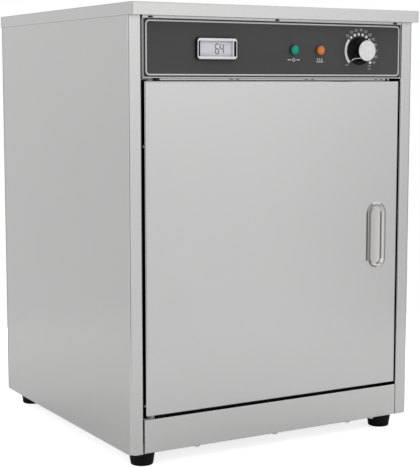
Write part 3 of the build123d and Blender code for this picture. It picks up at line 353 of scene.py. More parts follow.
class NodeBoard:
    """The node tree of a material or world, with short calls to add and join its nodes."""

    # Ambient occlusion becomes painted shade in gaps: the occlusion range that counts as open, and the tone
    # it maps to.
    shade_open_range: Point = (0.12, 0.75)
    shade_tone_range: Point = (0.04, 1.0)
    shade_samples: int = 8

    def __init__(self, owner: bpy.types.Material | bpy.types.World) -> None:
        """Start with an empty tree.

        Args:
            owner: The material or world whose tree it is.
        """
        owner.use_nodes = True
        self.tree = owner.node_tree
        self.tree.nodes.clear()

    def join(self, socket: Socket, value: Input) -> None:
        """Feed a socket from another one or from a node's first output, or set its value.

        Args:
            socket: The socket.
            value: What goes into it.
        """
        if isinstance(value, bpy.types.Node):
            value = value.outputs[0]
        if isinstance(value, Socket):
            self.tree.links.new(value, socket)
        else:
            socket.default_value = value

    def node(self, kind: str, *first: Input, **named: Input) -> bpy.types.Node:
        """Add a node and feed its sockets.

        Args:
            kind: Its type, without the words that all shader nodes begin with.
            *first: What goes into its first sockets, in order.
            **named: What goes into others, named with underscores for spaces.

        Returns:
            The node.
        """
        node = self.tree.nodes.new(f"ShaderNode{kind}")
        for socket, value in zip(node.inputs, first):
            self.join(socket, value)
        for name, value in named.items():
            self.join(node.inputs[name.replace("_", " ")], value)
        return node

    def texture(self, texture: Texture) -> Socket:
        """Read a texture in object coordinates, or for the depth pattern in the object's own box.

        Args:
            texture: The texture.

        Returns:
            Its value, from 0 to 1.
        """
        places, scale = self.node("TexCoord").outputs, texture.scale
        if texture.pattern is Pattern.DEPTH:
            return self.node("SeparateXYZ", places["Generated"]).outputs["Y"]
        where = places["Object"]
        if isinstance(scale, tuple):
            where, scale = self.node("Mapping", where, Scale=scale), 1.0
        if texture.pattern is Pattern.CELLS:
            return self.node("TexVoronoi", where, Scale=scale).outputs["Distance"]
        octaves = {"Detail": texture.detail, "Roughness": texture.roughness}
        return self.node("TexNoise", where, Scale=scale, **octaves).outputs["Fac"]

    def blend(self, share: Input, first: Input, second: Input, coloured: bool = False) -> Socket:
        """Mix two values or two colours.

        Args:
            share: Share of the second, from 0 to 1.
            first: One value or colour.
            second: The other one.
            coloured: Whether they are colours.

        Returns:
            The mixture.
        """
        node = self.node("Mix", share)
        node.data_type = "RGBA" if coloured else "FLOAT"
        start, result = (6, 2) if coloured else (2, 0)
        self.join(node.inputs[start], first)
        self.join(node.inputs[start + 1], second)
        return node.outputs[result]

    def ramp(self, value: Input, stops: Iterable[tuple[float, Triple]], ease: bool = False) -> Socket:
        """Colour a value through a ramp.

        Args:
            value: The value.
            stops: Values, rising, with their colours.
            ease: Whether the passages between them are soft.

        Returns:
            The colour.
        """
        ramp = self.node("ValToRGB", value)
        ramp.color_ramp.interpolation = "EASE" if ease else "LINEAR"
        elements = ramp.color_ramp.elements
        for i, (at, colour) in enumerate(stops):
            element = elements[i] if i < len(elements) else elements.new(at)
            element.position, element.color = at, (*colour, 1.0)
        return ramp.outputs["Color"]

    def painted_gap_shade(self, colour: Socket, reach: float) -> Socket:
        """Paint shade into a colour in gaps and inner corners, where little light reaches.

        Args:
            colour: The colour without the painted shade.
            reach: Width of the gaps that take the painted shade, in metres.

        Returns:
            The colour with its painted shade.
        """
        # painted shade: the colour is scaled down where nearby surfaces hide the light
        occlusion = self.node("AmbientOcclusion", Distance=reach)
        occlusion.samples = self.shade_samples
        share = self.node("MapRange", occlusion.outputs["AO"], *self.shade_open_range, *self.shade_tone_range)
        painted_shade = self.node("VectorMath", colour)
        painted_shade.operation = "SCALE"
        self.join(painted_shade.inputs["Scale"], share)
        return painted_shade.outputs["Vector"]


@dataclass(frozen=True)
class Surface:
    """A kind of surface: two textures, what follows which, and by how much.

    Its stops are texture values with the share of the colour there. The gloss swings round the
    finish's roughness over a range of the texture. The relief has a strength and a height in metres.
    """

    fine: Texture
    broad: Texture | None = None
    share: float = 0.6
    tone: Follow = Follow.BOTH
    gloss: Follow = Follow.FINE
    relief: Follow = Follow.FINE
    stops: Stops = ((0.3, 0.91), (0.7, 1.09))
    swing: Point = (-0.05, 0.07)
    gloss_range: Point = (0.3, 0.7)
    strength: float = 0.05
    height: float = 0.0003
    # reach of the painted shade in gaps and inner corners, in metres; 0 for none
    gap: float = 0.0
    sockets: tuple[tuple[str, float], ...] = ()


@dataclass(frozen=True)
class Finish:
    """A kind of surface in a colour, and the colour of its last stop if it has one: worn metal, or a lens's
    painted shade.
    """

    name: str
    surface: Surface
    colour: Triple
    roughness: float = 0.5
    last: Triple | None = None

    @cache
    def material(self) -> bpy.types.Material:
        """Build the finish's material, once.

        Returns:
            The material.
        """
        kind, material = self.surface, bpy.data.materials.new(self.name)
        board = NodeBoard(material)
        fine = board.texture(kind.fine)
        source = {Follow.FINE: fine}
        if kind.broad:
            source[Follow.BROAD] = board.texture(kind.broad)
            source[Follow.BOTH] = board.blend(kind.share, fine, source[Follow.BROAD])
        tones = [(at, tuple(share * c for c in self.colour)) for at, share in kind.stops]
        if self.last:
            tones[-1] = (tones[-1][0], self.last)
        colour = board.ramp(source[kind.tone], tones)
        # paint shade into gaps and inner corners
        if kind.gap:
            colour = board.painted_gap_shade(colour, kind.gap)
        gloss = board.node("MapRange", source[kind.gloss], *kind.gloss_range,
                           *(self.roughness + swing for swing in kind.swing))
        relief = board.node("Bump", Strength=kind.strength, Distance=kind.height,
                            Height=source[kind.relief])
        shader = board.node("BsdfPrincipled", Base_Color=colour, Roughness=gloss, Normal=relief,
                            **dict(kind.sockets))
        board.node("OutputMaterial", shader)
        return material


def metal(share: float = 1.0) -> tuple[tuple[str, float], ...]:
    """The socket that makes a surface metal."""
    return (("Metallic", share),)


def sheet(grain: Grain = Grain.UPRIGHT, drift: float = 0.015, gap: float = 0.012) -> Surface:
    """Brushed or milled stainless: fine strokes, faint smudges, uneven gloss, painted shade in gaps and
    inner corners.

    Args:
        grain: The way the strokes run.
        drift: How far the tone strays to either side.
        gap: How far from another surface the painted shade starts, in metres.

    Returns:
        The surface.
    """
    return Surface(Texture(grain.value, 3.0, 0.6), Texture(11.0, 3.0), 0.55, gloss=Follow.BOTH,
                   stops=((0.3, 1 - drift), (0.5, 1.0), (0.7, 1 + drift)), swing=(-0.03, 0.03),
                   strength=0.03, height=0.0002, gap=gap, sockets=metal())


def plated(patch: float) -> Surface:
    """Plated or drawn metal: a bright skin that wears in clouds, with fine pits.

    Args:
        patch: The scale of the clouds.

    Returns:
        The surface.
    """
    return Surface(Texture(2600.0), Texture(patch, 4.0, 0.6), tone=Follow.BROAD, gloss=Follow.BROAD,
                   stops=((0.38, 1.0), (0.7, 1.0)), swing=(0.0, 0.16), strength=0.06, height=0.0001,
                   sockets=metal())


def moulded(peel: float = 900.0, strength: float = 0.08, shine: float = 0.5, coat: float = 0.0) -> Surface:
    """Moulded plastic: faint orange-peel relief, a little colour drift, gloss that follows the skin."""
    return Surface(Texture(peel, 3.0), Texture(26.0), strength=strength,
                   sockets=(("Coat Weight", coat), ("Coat Roughness", 0.12), ("Specular IOR Level", shine)))


def rubber(dust: float, shine: float) -> Surface:
    """Moulded rubber or silicone: matt skin with a dusty bloom in its pores."""
    return Surface(Texture(1300.0, 3.0, 0.6), Texture(70.0, 3.0), stops=((0.35, 1 - dust), (0.7, 1 + dust)),
                   swing=(-0.08, 0.1), strength=0.2, sockets=(("Specular IOR Level", shine),))


def ink(metallic: float = 0.0) -> Surface:
    """Screen-printed ink that thins a little in specks."""
    return Surface(Texture(1800.0, 3.0, 0.7), tone=Follow.FINE, stops=((0.35, 0.93), (0.6, 1.07)),
                   swing=(-0.06, 0.06), strength=0.08, height=0.0001, sockets=metal(metallic))


SCREENED_PLATE = Surface(
    Texture(2100.0, pattern=Pattern.CELLS), Texture((6.0, 6.0, 20.0)), tone=Follow.BROAD,
    stops=((0.3, 1.10), (0.7, 0.90)), swing=(-0.06, 0.08), gloss_range=(0.0, 0.8), strength=0.10,
    height=0.0002, sockets=(("Specular IOR Level", 0.4),))
# The lens tone runs dark from its front to its flange along its depth: painted shade on its wall.
LENS_WITH_PAINTED_SHADE = Surface(
    Texture(140.0, 1.0), Texture(1.0, pattern=Pattern.DEPTH), 0.8, stops=((0.12, 1.0), (0.48, 1.0)),
    swing=(-0.04, 0.05), sockets=(
        ("Transmission Weight", 0.1), ("Coat Weight", 0.2), ("Coat Roughness", 0.06),
        ("Specular IOR Level", 0.16), ("Subsurface Weight", 0.2), ("Subsurface Scale", 0.002)))
CLEAR_SHEET = Surface(
    Texture(120.0), tone=Follow.FINE, stops=((0.2, 0.98), (0.8, 1.0)), swing=(0.0, 0.04), height=0.0002,
    sockets=(("Transmission Weight", 1.0), ("IOR", 1.3)))
PIXEL_ROWS = Surface(Texture((60.0, 60.0, 3200.0), 1.0), Texture(55.0), swing=(-0.05, 0.08), height=0.0001)
MATTED_FIBRE = Surface(
    Texture((260.0, 900.0, 420.0), 5.0, 0.7), Texture(70.0, pattern=Pattern.CELLS), 0.35,
    relief=Follow.BOTH, stops=((0.25, 0.75), (0.5, 1.0), (0.75, 1.25)), swing=(0.0, 0.15), strength=0.8,
    height=0.002, sockets=(("Sheen Weight", 0.3),))
FIRED_CLAY = Surface(
    Texture(500.0, 3.0), Texture(650.0, pattern=Pattern.CELLS), tone=Follow.BROAD,
    stops=((0.05, 0.55), (0.16, 1.0)), swing=(0.0, 0.2), strength=0.25)
SPUN_METAL = Surface(
    Texture(1500.0, 2.0, 0.8), Texture(160.0), 0.4, stops=((0.35, 0.90), (0.6, 1.10)),
    swing=(-0.08, 0.08), strength=0.15, height=0.0001, sockets=metal())

BODY_STEEL = Finish("body_steel", sheet(), (0.56, 0.56, 0.557), 0.20)
CAP_STEEL = Finish("cap_steel", sheet(Grain.ACROSS), (0.57, 0.57, 0.567), 0.20)
# dark grey painted shade for the cap's corner seams and the strips beside the console
SEAM_SHADE = Finish("painted_seam_shade", sheet(), (0.25, 0.25, 0.25), 0.26)
RAIL_STEEL = Finish("rail_steel", sheet(Grain.ACROSS), (0.50, 0.50, 0.505), 0.32)
PAN_STEEL = Finish("pan_steel", sheet(Grain.ACROSS, 0.06), (0.52, 0.52, 0.53), 0.38)
DOOR_STEEL = Finish("door_sheet", sheet(), (0.56, 0.56, 0.558), 0.20)
LINER_STEEL = Finish("liner_steel", sheet(Grain.DEEP, 0.05), (0.56, 0.56, 0.57), 0.24)
# the pull's shade reach paints shade into its cup
PULL_STEEL = Finish("pull_pressing", sheet(Grain.NONE, 0.03, 0.010), (0.57, 0.555, 0.54), 0.14)
SCREW_STEEL = Finish("screw_steel", plated(240.0), (0.58, 0.58, 0.60), 0.26, (0.484, 0.48, 0.484))
BRACKET_ZINC = Finish("bracket_zinc", plated(130.0), (0.26, 0.26, 0.265), 0.40, (0.205, 0.205, 0.2075))
ZINC_CASE = Finish("zinc_case", plated(90.0), (0.56, 0.57, 0.58), 0.36, (0.48, 0.485, 0.47))
RACK_CHROME = Finish("rack_chrome", plated(45.0), (0.72, 0.72, 0.74), 0.12, (0.643, 0.643, 0.656))
SHEATH_STEEL = Finish("sheath_steel", plated(55.0), (0.20, 0.185, 0.175), 0.42, (0.12, 0.105, 0.115))
BARE_COPPER = Finish("bare_copper", plated(110.0), (0.72, 0.42, 0.30), 0.28, (0.504, 0.288, 0.198))
STRIKE_PLATE = Finish("strike_plate", plated(120.0), (0.52, 0.52, 0.53), 0.32, (0.43, 0.43, 0.43))
KNOB_SILVER = Finish("knob_silver", SPUN_METAL, (0.77, 0.77, 0.775), 0.42)
CONSOLE_COAT = Finish("console_coat", SCREENED_PLATE, (0.050, 0.050, 0.052))
SILVER_INK = Finish("silver_ink", ink(0.35), (0.58, 0.58, 0.59), 0.38)
WHITE_INK = Finish("white_ink", ink(), (0.78, 0.78, 0.78))
FAINT_INK = Finish("faint_ink", ink(), (0.48, 0.48, 0.485))
# black print, also used for the painted shadow round the thermometer bezel
BLACK_INK_AND_SHADOW = Finish("black_ink_and_shadow", ink(), (0.010, 0.010, 0.010))
POINTER_INK = Finish("pointer_ink", ink(), (0.72, 0.73, 0.75), 0.4)
NOTCH_SHADE = Finish("notch_shade", ink(), (0.055, 0.048, 0.045), 0.6)
DIGIT_INK = Finish("digit_ink", ink(), (0.15, 0.14, 0.16), 0.4)
BLACK_GLOSS = Finish("black_gloss", moulded(500.0, 0.05, 0.14), (0.003, 0.003, 0.003), 0.30)
BLACK_SATIN = Finish("black_satin", moulded(shine=0.3), (0.010, 0.010, 0.011), 0.42)
SILVER_PLASTIC = Finish("silver_plastic", moulded(1100.0, 0.04, coat=0.4), (0.74, 0.74, 0.745), 0.28)
CREAM_PLASTIC = Finish("cream_plastic", moulded(), (0.62, 0.58, 0.48), 0.45)
NYLON = Finish("nylon", moulded(), (0.34, 0.335, 0.32), 0.4)
FERRITE = Finish("ferrite", moulded(1500.0, 0.25), (0.025, 0.025, 0.027), 0.6)
# Each lens's last colour is the painted shade of its wall by the flange.
GREEN_LENS = Finish("green_lens", LENS_WITH_PAINTED_SHADE, (0.002, 0.36, 0.24), 0.22, (0.001, 0.045, 0.032))
AMBER_LENS = Finish("amber_lens", LENS_WITH_PAINTED_SHADE, (0.72, 0.25, 0.07), 0.22, (0.20, 0.045, 0.01))
WINDOW_CLEAR = Finish("window_clear", CLEAR_SHEET, (0.96, 0.97, 1.0), 0.03)
DISPLAY = Finish("display", PIXEL_ROWS, (0.81, 0.80, 0.80), 0.35)
WOOL = Finish("wool", MATTED_FIBRE, (0.52, 0.46, 0.26), 0.85)
FOOT_RUBBER = Finish("tread_rubber", rubber(0.5, 0.12), (0.005, 0.005, 0.005), 0.6)
SEAL_SILICONE = Finish("soft_silicone", rubber(0.3, 0.25), (0.035, 0.035, 0.038), 0.55)
SUPPORT_CERAMIC = Finish("bead_ceramic", FIRED_CLAY, (0.74, 0.70, 0.60), 0.7)


@dataclass
class SubAssembly:
    """A group of pieces that ride on one body."""

    body: str = "cabinet"

    def add(self, name: str, form: Form, place: Matrix, slot: str, finish: Finish, *stands_for: str,
            sharp: float = 35.0) -> None:
        """Put a finished piece into the scene.

        Args:
            name: Name of the piece.
            form: Its shape in a local frame.
            place: Where the local frame stands.
            slot: The record's material slot that it belongs to; not used.
            finish: Its finish.
            *stands_for: CAD nodes that it takes the place of.
            sharp: Edges that turn by more than this many degrees stay crisp.
        """
        piece = bpy.data.objects.new(name, form.mesh(name, place, sharp))
        bpy.context.scene.collection.objects.link(piece)
        piece.data.materials.append(finish.material())
        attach(piece, self.body)
        if stands_for:
            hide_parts(*stands_for)
        log.info("%s: %d faces on %s", name, len(piece.data.polygons), self.body)

    def dress(self, finish: Finish, *nodes: str) -> None:
        """Give CAD nodes a finish.

        Args:
            finish: The finish.
            *nodes: Their names.
        """
        for node in nodes:
            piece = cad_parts[node]
            if not piece.material_slots:
                piece.data.materials.append(None)
            for holder in piece.material_slots:
                holder.material = finish.material()
            log.info("%s: %s", node, finish.name)


@dataclass
class Carcass(SubAssembly):
    """Outer sheet work, chamber liner and everything fixed to it."""

    notches: tuple[float, ...] = (-73.0, -63.5, 45.2, 55.8, 162.5, 172.0)
    notch_length: float = 5.0
    notch_height: float = 1.0
    # thickness of the strips of painted shade for the notches and cap seams
    shade_film: float = 0.05
    lug_gap: float = 3.4
    lug_width: float = 2.6
    lug_extra: float = 0.2
    lug_drop: float = 0.2
    lug_corner: float = 0.5
    lug_depth: float = 6.0
    lug_rise: float = 0.6
    lug_bevel: float = 0.3
    corner_inset: float = 1.1
    corner_line: float = 0.7
    corner_ends: Point = (0.6, 1.5)

    def build(self) -> None:
        """Dress the folded sheets, the liner and the fasteners."""
        self.rail()
        self.cap_seams()
        self.dress(BODY_STEEL, "side_panel_left", "side_panel_right", "back_panel", "plinth_panel",
                   "console_panel")
        self.dress(CAP_STEEL, "top_cap")
        self.dress(RAIL_STEEL, "front_top_rail")
        self.dress(PAN_STEEL, "base_pan")
        self.dress(LINER_STEEL, "liner_left", "liner_right", "liner_top", "liner_floor", "liner_back",
                   "shelf_ledges", "element_guard")
        self.dress(SCREW_STEEL, "panel_screws", "foot_screws", "hinge_pins", "bulb_clips", "thermostat_nut")
        self.dress(BRACKET_ZINC, "hinge_brackets")
        self.dress(WOOL, "insulation_sides", "insulation_top", "insulation_floor", "insulation_back")
        self.dress(ZINC_CASE, "thermostat_body")
        self.dress(BARE_COPPER, "capillary_tube", "sensing_bulb")
        self.dress(CREAM_PLASTIC, "terminal_block")
        self.dress(BLACK_SATIN, "thermometer_case", "lamp_barrels", "gland_locknut", "cable_gland")
        self.dress(SUPPORT_CERAMIC, "element_supports")
        self.dress(FERRITE, "catch_magnet")

    def rail(self) -> None:
        """Dark strokes of painted shade for the notches stamped in the rail over the door, and the bright
        lug beside its right end.
        """
        rail = Span.of("front_top_rail")
        form, half = Form(), self.notch_length / 2
        for x in self.notches:
            # each notch is a dark stroke of painted shade
            form.stroke([(x - half, 0.0), (x + half, 0.0)], self.notch_height, self.shade_film)
        self.add("rail_notch_shade", form, rail.front(), "cabinet_steel", NOTCH_SHADE)
        lug = rounded_outline(self.lug_width, rail.size.z + self.lug_extra, self.lug_corner, 5)
        form = Form().prism(lug, -self.lug_depth, self.lug_rise, self.lug_bevel)
        place = Facing.FRONT.at(rail.high.x + self.lug_gap + self.lug_width / 2, rail.low.y,
                                rail.middle.z - self.lug_drop)
        self.add("rail_lug", form, place, "cabinet_steel", BODY_STEEL)

    def cap_seams(self) -> None:
        """The fine line where the cap's side flange meets its front flange, at both front corners, as dark
        strips of painted shade.
        """
        cap = Span.of("top_cap")
        half, across = cap.size.z / 2, cap.size.x / 2 - self.corner_inset
        form, (under, over) = Form(), self.corner_ends
        for x in (-across, across):
            form.stroke([(x, under - half), (x, half - over)], self.corner_line, self.shade_film)
        self.add("cap_corner_seams", form, cap.front(), "cabinet_steel", SEAM_SHADE)


@dataclass
class Console(SubAssembly):
    """The dark plate with its print, and the strips that close the seams at its ends.

    The print is the frame line, the dial scale and the marks under the lamps.
    """

    ink: float = 0.06
    line_width: float = 1.8
    line_inset: float = 1.9
    line_corner: float = 4.6
    border_width: float = 2.6
    border_margin: float = 0.1
    border_corner: float = 1.5
    # a black ring round the thermometer bezel, moved left: painted shadow
    bezel_shadow_width: float = 1.8
    bezel_shadow_shift: float = 0.8
    bezel_shadow_corner: float = 4.0
    ring_radius: float = 22.7
    ring_width: float = 3.5
    band: Point = (138.5, 225.0)
    block_first: float = 127.3
    block_step: float = 17.2
    block_count: int = 9
    block_width: float = 3.5
    stop_angle: float = -40.0
    stop_radius: float = 24.6
    numeral_radius: float = 28.6
    numeral_size: float = 5.4
    numeral_first: float = 135.0
    numeral_step: float = 16.8
    numeral_count: int = 11
    symbols: Stops = ((-49.0, 27.0), (-54.0, 30.2), (223.0, 28.2))
    symbol_ring: float = 0.9
    symbol_open: Point = (0.0, 345.0)
    symbol_line: float = 0.45
    symbol_bar: Point = (1.6, 3.0)
    symbol_bar_line: float = 0.5
    mark_drop: float = 13.1
    mark_line: float = 0.6
    power_ring: float = 2.0
    power_open: Point = (125.0, 415.0)
    power_bar: Point = (0.6, 2.7)
    power_dash: Point = (4.4, 9.8)
    power_dash_line: float = 0.8
    wave_places: tuple[float, ...] = (-3.4, 0.0, 3.4)
    wave_swing: float = 0.7
    wave_foot: float = -1.4
    wave_step: float = 0.32
    wave_steps: int = 12
    hob_half: float = 5.6
    hob_level: float = -2.4
    hob_line: float = 0.7
    seam_play: float = 0.15
    seam_lap: float = 0.9
    seam_rise: float = 0.25
    seam_lift: float = 0.02
    seam_chamfer: Point = (0.5, 0.15)
    seam_roll: Stops = ((1.4, 0.0), (0.6, 0.25))

    @property
    def plate(self) -> Span:
        """The box of the printed plate."""
        return Span.of("console_label")

    def build(self) -> None:
        """Dress the plate, close the seams and print the plate."""
        self.dress(CONSOLE_COAT, "console_label")
        for side, name in ((-1, "left"), (1, "right")):
            self.seam(side, name)
        self.border()
        self.dial()
        self.power_mark()
        self.heat_mark()

    def lay(self, name: str, form: Form, x: float, z: float, finish: Finish) -> None:
        """Lay a printed form on the plate's face, its local frame at a place across and up."""
        self.add(name, form, Facing.FRONT.at(x, self.plate.low.y, z), "label_coating", finish)

    def seam(self, side: int, name: str) -> None:
        """The narrow strip that closes the seam between the console panel and a post, dark grey with
        painted shade.

        Args:
            side: -1 for the left seam, 1 for the right one.
            name: Name of that side.
        """
        plate, panel, post = self.plate, Span.of("console_panel"), Span.of(f"side_panel_{name}")
        inner, outer = plate.size.x / 2 + self.seam_play, panel.size.x / 2 + self.seam_lap
        face, floor = panel.low.y - self.seam_rise, post.low.y - self.seam_lift
        run, fall = self.seam_chamfer
        edge = [(inner, floor), (inner, face + fall), (inner + run, face)]
        edge += [(outer - back, face + down) for back, down in self.seam_roll] + [(outer, floor)]
        rings = [[Vector((side * x, y, z)) for x, y in edge] for z in (plate.low.z, plate.high.z)]
        place = Facing.UP.at(0, 0, 0)
        self.add(f"console_seam_{name}", Form().loft(rings), place, "cabinet_steel", SEAM_SHADE)

    def border(self) -> None:
        """The silver line inside the plate's edge, the black band round it, and a black ring round the
        bezel, set to its left, that is a painted shadow.
        """
        (x, _, z), (wide, _, high) = self.plate.middle, self.plate.size
        bezel = Span.of("thermometer_bezel")
        band = self.border_width + self.border_margin
        outline = rounded_outline(wide - band, high - band, self.border_corner)
        form = Form().stroke(outline, self.border_width, self.ink / 2, closed=True)
        # painted shadow of the bezel: a black ring set left of it
        bezel_shadow = [(u + bezel.middle.x - x - self.bezel_shadow_shift, v + bezel.middle.z - z)
               for u, v in rounded_outline(bezel.size.x, bezel.size.z, self.bezel_shadow_corner)]
        form.stroke(bezel_shadow, self.bezel_shadow_width, self.ink / 2, closed=True)
        self.lay("label_black_border_and_bezel_shadow", form, x, z, BLACK_INK_AND_SHADOW)
        inset = 2 * self.line_inset + self.line_width
        outline = rounded_outline(wide - inset, high - inset, self.line_corner)
        form = Form().stroke(outline, self.line_width, self.ink, closed=True)
        self.lay("label_frame_line", form, x, z, SILVER_INK)

    def dial(self) -> None:
        """The white band, blocks and numbers round the thermostat knob."""
        knob = Span.of("knob_body").middle
        form, half = Form(), self.ring_width / 2
        form.stroke(arc(self.ring_radius, *self.band, steps=40), self.ring_width, self.ink)
        blocks = [(self.block_first - i * self.block_step, self.ring_radius)
                  for i in range(self.block_count)]
        for angle, radius in blocks + [(self.stop_angle, self.stop_radius)]:
            block = [on_circle(radius + reach, angle) for reach in (-half, half)]
            form.stroke(block, self.block_width, self.ink)
        self.lay("dial_scale", form, knob.x, knob.z, WHITE_INK)
        form = Form()
        for i in range(self.numeral_count):
            spot = on_circle(self.numeral_radius, self.numeral_first - i * self.numeral_step)
            form.numeral(str(10 * (i + 1)), self.numeral_size, spot, self.ink)
        for angle, radius in self.symbols:
            x, y = on_circle(radius, angle)
            form.stroke(arc(self.symbol_ring, *self.symbol_open, 16, (x, y)), self.symbol_line, self.ink)
            for side in (-1, 1):
                bar = [(x + side * reach, y) for reach in self.symbol_bar]
                form.stroke(bar, self.symbol_bar_line, self.ink)
        self.lay("dial_numbers", form, knob.x, knob.z, FAINT_INK)

    def power_mark(self) -> None:
        """A plain broken ring with a bar, between two dashes, under the green lamp."""
        lamp = Span.of("lamp_lens_power").middle
        form = Form().stroke(arc(self.power_ring, *self.power_open, steps=24), self.mark_line, self.ink)
        form.stroke([(0, y) for y in self.power_bar], self.mark_line, self.ink)
        for side in (-1, 1):
            form.stroke([(side * x, 0) for x in self.power_dash], self.power_dash_line, self.ink)
        self.lay("power_mark", form, lamp.x, lamp.z - self.mark_drop, WHITE_INK)

    def heat_mark(self) -> None:
        """Three rising waves over a bar, under the orange lamp."""
        lamp, steps = Span.of("lamp_lens_heat").middle, self.wave_steps
        form = Form().stroke([(side * self.hob_half, self.hob_level) for side in (-1, 1)], self.hob_line,
                             self.ink)
        for x in self.wave_places:
            form.stroke([(x + self.wave_swing * math.sin(math.tau * t / steps),
                          self.wave_foot + self.wave_step * t) for t in range(steps + 1)], self.mark_line,
                        self.ink)
        self.lay("heat_mark", form, lamp.x, lamp.z - self.mark_drop, WHITE_INK)


@dataclass
class Thermometer(SubAssembly):
    """Panel thermometer: bezel, window, display and the digits on it."""

    reading: str = "64"
    reading_shift: float = 4.6
    digit_height: float = 12.4
    digit_width: float = 4.8
    digit_gap: float = 2.2
    stroke: float = 1.5
    shortening: float = 0.45
    ink: float = 0.08
    side_frame: float = 1.8
    end_frame: float = 4.2
    opening_corner: float = 1.0
    corner: float = 4.5
    shell_lip: float = 0.6
    rim_depth: float = 1.0
    roll: float = 0.9
    ease: float = 0.35
    ease_corner: float = 1.2
    ease_depth: float = 0.5
    bar_width: float = 1.6
    bar_lap: float = 0.6
    bar_extra: float = 0.2
    bar_seat: float = 0.4
    bar_bevel: float = 0.25

    def build(self) -> None:
        """Make the two-tone bezel, dress the other CAD pieces and draw the digits."""
        self.bezel()
        self.dress(WINDOW_CLEAR, "thermometer_window")
        self.dress(DISPLAY, "thermometer_face")
        form, pitch = Form(), self.digit_width + self.digit_gap
        for i, digit in enumerate(self.reading):
            left = (i - len(self.reading) / 2) * pitch + self.digit_gap / 2 + self.reading_shift
            self.digit(form, digit, left)
        place = Span.of("thermometer_face").front()
        self.add("thermometer_digits", form, place, "meter_display", DIGIT_INK)

    def bezel(self) -> None:
        """A black shell with a silver frame on its front and a light bar at each end of the window."""
        box, window = Span.of("thermometer_bezel"), Span.of("thermometer_window")
        wide, proud, high = box.size
        place, split = box.seat(), proud - self.rim_depth

        def outline(inset: float) -> list[Point]:
            """The bezel's outline, drawn in."""
            return rounded_outline(wide - 2 * inset, high - 2 * inset, self.corner - inset)

        def window_outline(ease: float, corner: float) -> list[Point]:
            """The opening's outline, eased out."""
            side, end = self.side_frame - ease, self.end_frame - ease
            return rounded_outline(wide - 2 * side, high - 2 * end, corner)

        opening = window_outline(0.0, self.opening_corner)
        shell = Form().loft([at_depth(outline(0.0), 0), at_depth(outline(0.0), split),
                             at_depth(opening, split), at_depth(opening, 0)], Ends.LOOPED)
        self.add("thermometer_shell", shell, place, "meter_plastic", BLACK_SATIN, "thermometer_bezel")
        rings = [at_depth(outline(self.shell_lip), split)]
        rings += [at_depth(outline(self.shell_lip + self.roll + x), proud - self.roll + y)
                  for x, y in arc(self.roll, 180, 90, steps=6)]
        rings += [at_depth(window_outline(self.ease, self.ease_corner), proud),
                  at_depth(opening, proud - self.ease_depth), at_depth(opening, split)]
        rim = Form().loft(rings, Ends.LOOPED)
        left, half = window.size.x / 2 - self.bar_lap, high / 2 - self.end_frame + self.bar_extra
        right = left + self.bar_width
        rim.prism([(left, -half), (right, -half), (right, half), (left, half)], self.bar_seat,
                  split + self.bar_seat, self.bar_bevel)
        self.add("thermometer_rim", rim, place, "meter_plastic", SILVER_PLASTIC)

    def digit(self, form: Form, digit: str, left: float) -> None:
        """Draw one seven-segment digit.

        Args:
            form: The form that takes it.
            digit: The character.
            left: Local X of its left edge.
        """
        right, top = left + self.digit_width, self.digit_height / 2
        ends = {"a": ((left, top), (right, top)), "b": ((right, top), (right, 0)),
                "c": ((right, 0), (right, -top)), "d": ((left, -top), (right, -top)),
                "e": ((left, 0), (left, -top)), "f": ((left, top), (left, 0)), "g": ((left, 0), (right, 0))}
        for segment in {"6": "acdefg", "4": "bcfg"}[digit]:
            start, end = (Vector(p) for p in ends[segment])
            short = (end - start).normalized() * self.shortening
            form.stroke([start + short, end - short], self.stroke, self.ink)


@dataclass
class PilotLamps(SubAssembly):
    """The two pilot lamps' lenses, with a section in shares of the flange's radius and the height."""

    rise: float = 0.95
    wall: Stops = ((1.0, 0.0), (1.0, 0.14), (0.985, 0.20), (0.955, 0.22), (0.955, 0.30), (0.94, 0.58))
    tip: float = 0.03

    def build(self) -> None:
        """Make both lenses: a flange, a tapered wall and a domed front."""
        rim, spring = self.wall[-1]
        dome = [(rim * x, spring + (1 - spring) * y) for x, y in arc(1.0, 9, 81, steps=9)]
        section = [*self.wall, *dome, (self.tip, 1.0)]
        for name, slot, finish in (("power", "lens_green", GREEN_LENS), ("heat", "lens_amber", AMBER_LENS)):
            box = Span.of(f"lamp_lens_{name}")
            radius, height = box.size.x / 2, box.size.y * self.rise
            form = Form().turn([(radius * r, height * h) for r, h in section], steps=48)
            self.add(f"{name}_lamp_lens", form, box.seat(), slot, finish, f"lamp_lens_{name}", sharp=24.0)


